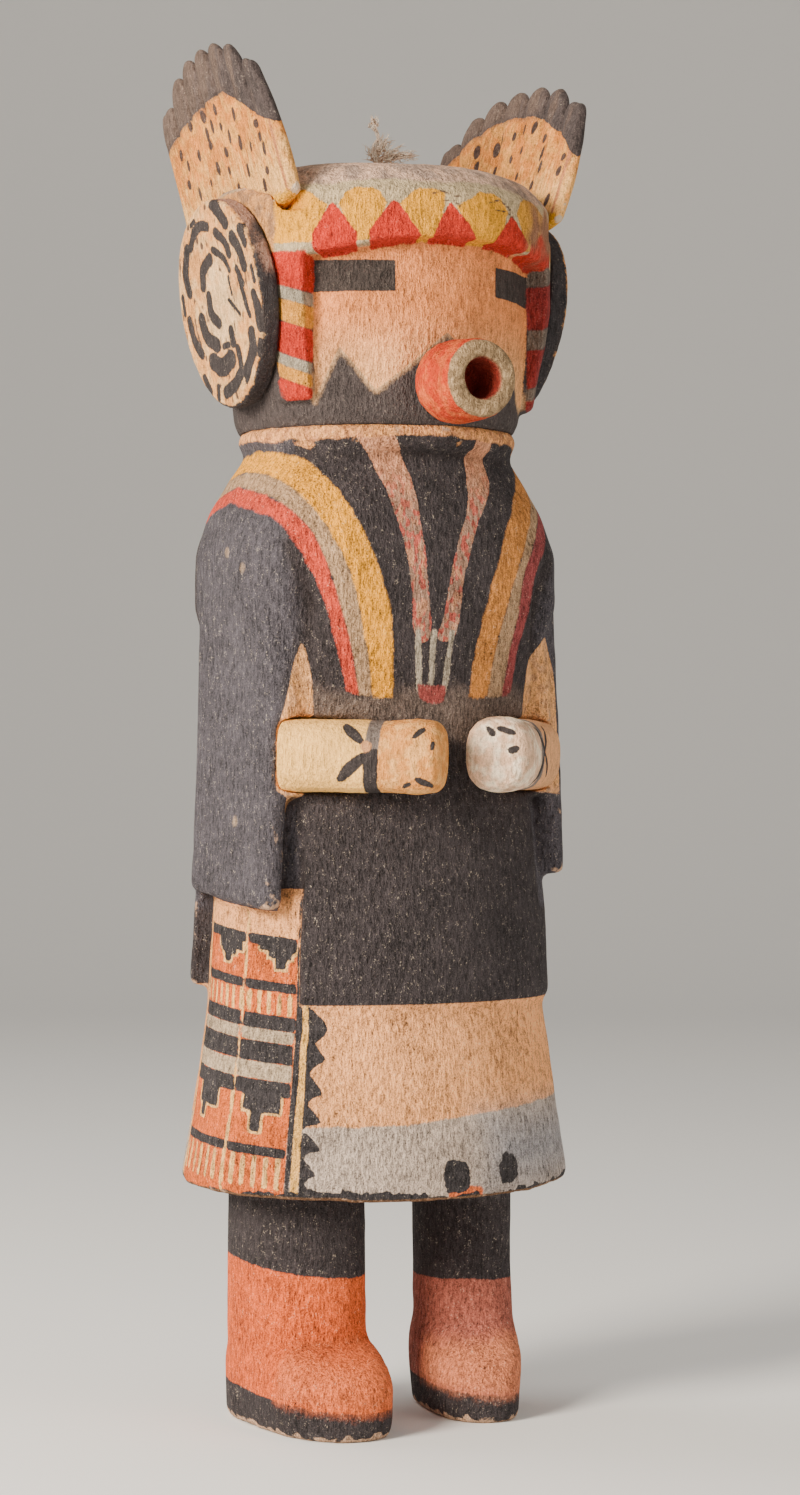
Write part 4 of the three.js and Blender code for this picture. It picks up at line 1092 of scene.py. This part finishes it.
def leafOn(u, v, start, end, half):
    # a pointed brush mark, widest near its middle
    du, dv = end[0] - start[0], end[1] - start[1]
    length = math.hypot(du, dv)
    along = ((u - start[0]) * du + (v - start[1]) * dv) / length ** 2
    across = np.abs((u - start[0]) * dv - (v - start[1]) * du) / length
    full = half * np.sqrt(np.clip(1 - (2 * along - 1) ** 2, 0, 1))
    return np.where((along > 0) & (along < 1), full - across, -0.3 - np.abs(along - 0.5))


def handFields(side):
    def fields(p, normal):
        elbow, forward = armAxis(side)
        x, y, z = p.T
        along = (p - elbow) @ forward
        if side < 0:
            band = 1.55 - np.abs(along - 20.6 - 0.06 * (z - 145))
            leaves = anyOf(leafOn(along, z, (19.0, 148.2), (14.2, 152.2), 1.05),
                           leafOn(along, z, (19.6, 146.0), (13.2, 140.2), 1.3))
            knot = 1.2 - np.hypot(along - 19.6, z - 147.5)
            marks = anyOf(leafOn(along, z, (29.4, 149.2), (32.2, 151.4), 0.7),
                          leafOn(along, z, (30.0, 140.8), (33.8, 139.0), 0.75),
                          leafOn(along, z, (27.0, 138.7), (29.2, 139.9), 0.5),
                          leafOn(along, z, (33.6, 146.4), (33.9, 148.8), 0.45))
            return {"armBand": allOf(band, 147.0 - z), "armBandTop": allOf(band, z - 146.4),
                    "armLeaves": leaves, "armKnot": knot, "handMarks": marks, "handShade": along - 21.5}
        band = 1.1 - np.abs(along - 17.6)
        cross = anyOf(
            leafOn(along, z, (12.2, 152.2), (17.6, 144.8), 0.75),
            leafOn(along, z, (20.6, 138.8), (16.4, 146.2), 0.75),
            leafOn(along, z, (19.6, 152.0), (15.8, 145.2), 0.7),
            leafOn(along, z, (11.6, 140.6), (16.6, 146.8), 0.7))
        marks = anyOf(
            leafOn(x, z, (6.2, 151.9), (7.2, 149.6), 0.6), leafOn(x, z, (7.6, 151.6), (10.8, 150.2), 0.7),
            leafOn(x, z, (9.2, 146.4), (11.2, 147.4), 0.75))
        return {"armBand": band, "armLeaves": cross, "handMarks": allOf(marks, along - 24),
                "palePalm": along - 18.6}
    return fields


def handMaterial(side):
    s = handSettings
    if side < 0:
        layers = [
            ("handShade", mottled(s["fist"], s["fistPale"], 3.0), 1.4, 0.8),
            ("armLeaves", s["black"], 0.5, 0.14),
            ("armBandTop", tone(116, 104, 98), 0.5, 0.2),
            ("armBand", s["black"], 0.5, 0.14),
            ("armKnot", tone(196, 140, 96), 0.6, 0.2),
            ("handMarks", s["black"], 0.5, 0.14),
        ]
    else:
        layers = [
            ("palePalm", mottled(s["paleShade"], s["paleFist"], 4.0), 0.8, 0.4),
            ("armBand", tone(120, 110, 106), 0.6, 0.3),
            ("armLeaves", s["black"], 0.5, 0.15),
            ("handMarks", s["black"], 0.5, 0.14),
        ]
    finish = {"streak": 1.0, "mottle": 0.8, "specks": 0.15, "pits": 0.22, "wear": -0.15,
              "bare": tone(236, 206, 156), "soot": 0.7, "rough": 0.84, "bump": 0.8}
    label = sideName(side)
    return paintedMaterial(label + " skin paint", s["skin"][label], layers, finish)


# the crown's tuft of down

plumeSettings = {
    "shade": tone(228, 204, 182), "pale": tone(250, 236, 218),
    "stemThick": 0.62, "strandThick": (0.14, 0.28), "low": 276,
    # tufts: (root, end, spread, barbs), about the doll's axis in mm; x to the doll's left, y to its back
    "tufts": [((0, 0, 277.6), (5.6, -3.2, 279.6), 2.2, 90), ((0, 0, 278.4), (2.0, -1.0, 283.0), 1.8, 70),
              ((0, 0, 277.2), (-1.6, 1.0, 280.6), 1.4, 50), ((-0.2, 0.1, 284.0), (-0.6, 0.3, 287.4), 0.9, 36),
              ((3.4, -2.0, 278.4), (8.0, -4.4, 278.6), 1.2, 44)],
    "stems": [[(0, 0, 271), (0.1, 0, 277), (0.7, -0.3, 281), (-0.3, 0.1, 284.4), (0.2, -0.2, 287)],
              [(0.2, 0, 276), (-0.6, 0.4, 280.4), (0.5, -0.2, 283), (-0.9, 0.4, 286.8)]],
}


def addTube(verts, faces, course, thick):
    # a strand of three faces that thins to its end
    start, thirdTurn = len(verts), 2.0944
    course = [Vector(point) for point in course]
    end = len(course) - 1
    for i, point in enumerate(course):
        ahead = (course[min(i + 1, end)] - course[max(i - 1, 0)]).normalized()
        across = ahead.orthogonal().normalized()
        radius = thick * (1 - 0.85 * i / end)
        for k in range(3):
            spoke = across * math.cos(k * thirdTurn) + ahead.cross(across) * math.sin(k * thirdTurn)
            verts.append((point + spoke * radius) * mm + Vector((0, axisY, 0)))
    for i in range(end):
        for k in range(3):
            a, b = start + i * 3 + k, start + i * 3 + (k + 1) % 3
            faces.append((a, b, b + 3, a + 3))
    last = start + len(course) * 3 - 3
    faces.extend([(start + 2, start + 1, start), (last, last + 1, last + 2)])


def buildPlume(name):
    s = plumeSettings
    random = np.random.default_rng(7)
    verts, faces = [], []
    for stem in s["stems"]:
        addTube(verts, faces, smoothLine(stem), s["stemThick"])
    for root, end, spread, barbs in s["tufts"]:
        root, end = np.array(root, float), np.array(end, float)
        for _ in range(barbs):
            start = root + (end - root) * random.uniform(0, 0.45) + random.normal(0, 0.25, 3)
            tip = root + (end - root) * random.uniform(0.45, 1.0) + random.normal(0, spread * 0.5, 3)
            bend = (start + tip) / 2 + random.normal(0, 0.5, 3)
            tip[2] = max(tip[2], s["low"])
            course = smoothLine([tuple(start), tuple(bend), tuple(tip)], 4)
            addTube(verts, faces, course, random.uniform(*s["strandThick"]))
    return addMesh(name, verts, faces)


def plumeMaterial():
    s = plumeSettings
    finish = {"streak": 0.4, "mottle": 0.4, "specks": 0.2, "pits": 0.3, "wear": -0.6,
              "bare": tone(220, 200, 180), "soot": 0.5, "rough": 0.9, "bump": 0.4}
    return paintedMaterial("down", mottled(s["shade"], s["pale"], 1.6), [], finish)


# the pieces

def carve(points, normal, knife, grain, seed):
    # shallow knife facets, and the upright grain that paint follows
    facets = noiseAt(points * (1, 1, 0.55), 8.5, seed) * knife
    fibre = noiseAt(points * (1, 1, 0.35), 1.5, seed + 1) * grain
    return points + normal * (facets + fibre)[:, None]


def storeRelief(obj, points, edges):
    # how far each place stands proud of its surroundings, or lies hollow among them
    for name, rounds, full in (("proud", 5, 0.22), ("hollow", 14, -0.5)):
        offset = np.einsum("ij,ij->i", points - relax(points, edges, rounds), readNormals(obj))
        storeValue(obj, name, np.clip(neighbourMean(offset, edges) / full, 0, 1))


pieces = {
    # name: (node, slot, voxel in mm, cut above, cut below, smoothing rounds, knife, grain, fields, material)
    "figure_body": ("carved_figure", "painted_figure", 0.875, None, 216.9, 6, 0.22, 0.10, bodyFields,
                    bodyMaterial),
    "figure_head": ("carved_figure", "painted_figure", 0.52, 216.3, None, 10, 0.22, 0.10, headFields,
                    headMaterial),
    "mouth_tube": ("snout", "snout_paint", 0.35, None, None, 6, 0.16, 0.12, mouthFields, mouthMaterial),
    "right_ear_disc": ("right_ear", "ear_paint", 0.42, None, None, 5, 0.12, 0.07, earFields(-1), earMaterial),
    "left_ear_disc": ("left_ear", "ear_paint", 0.42, None, None, 5, 0.12, 0.07, earFields(1), earMaterial),
    "right_fan": ("right_feather_fan", "feather_paint", None, None, None, 1, 0.08, 0.05, fanFields(-1),
                  fanMaterial),
    "left_fan": ("left_feather_fan", "feather_paint", None, None, None, 1, 0.08, 0.05, fanFields(1),
                 fanMaterial),
    "right_hand": ("right_forearm", "skin_paint", 0.42, None, None, 6, 0.18, 0.06, handFields(-1),
                   lambda: handMaterial(-1)),
    "left_hand": ("left_forearm", "skin_paint", 0.42, None, None, 6, 0.18, 0.06, handFields(1),
                  lambda: handMaterial(1)),
    "plume": ("crown_plume", "down", None, None, None, 0, 0, 0, None, plumeMaterial),
}
for seed, (name, settings) in enumerate(pieces.items()):
    node, slot, voxel, low, high, rounds, knife, grain, fields, material = settings
    if name == "plume":
        piece = buildPlume(name)
    elif voxel is None:
        piece = buildFan(name, -1 if name == "right_fan" else 1)
    else:
        piece = carvedCopy(name, node, voxel, low, high)
    edges = readEdges(piece)
    points = relax(readPoints(piece), edges, rounds)
    writePoints(piece, points)
    points = carve(points, readNormals(piece), knife, grain, seed * 10)
    points[:, 2] = np.maximum(points[:, 2], 0)
    writePoints(piece, points)
    storeRelief(piece, points, edges)
    for label, values in (fields(points, readNormals(piece)) if fields else {}).items():
        storeValue(piece, label, values)
    piece.data.materials.append(material())
    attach(piece, "root")
    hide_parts(node)
    print(name, sum(len(face.vertices) - 2 for face in piece.data.polygons), "triangles")
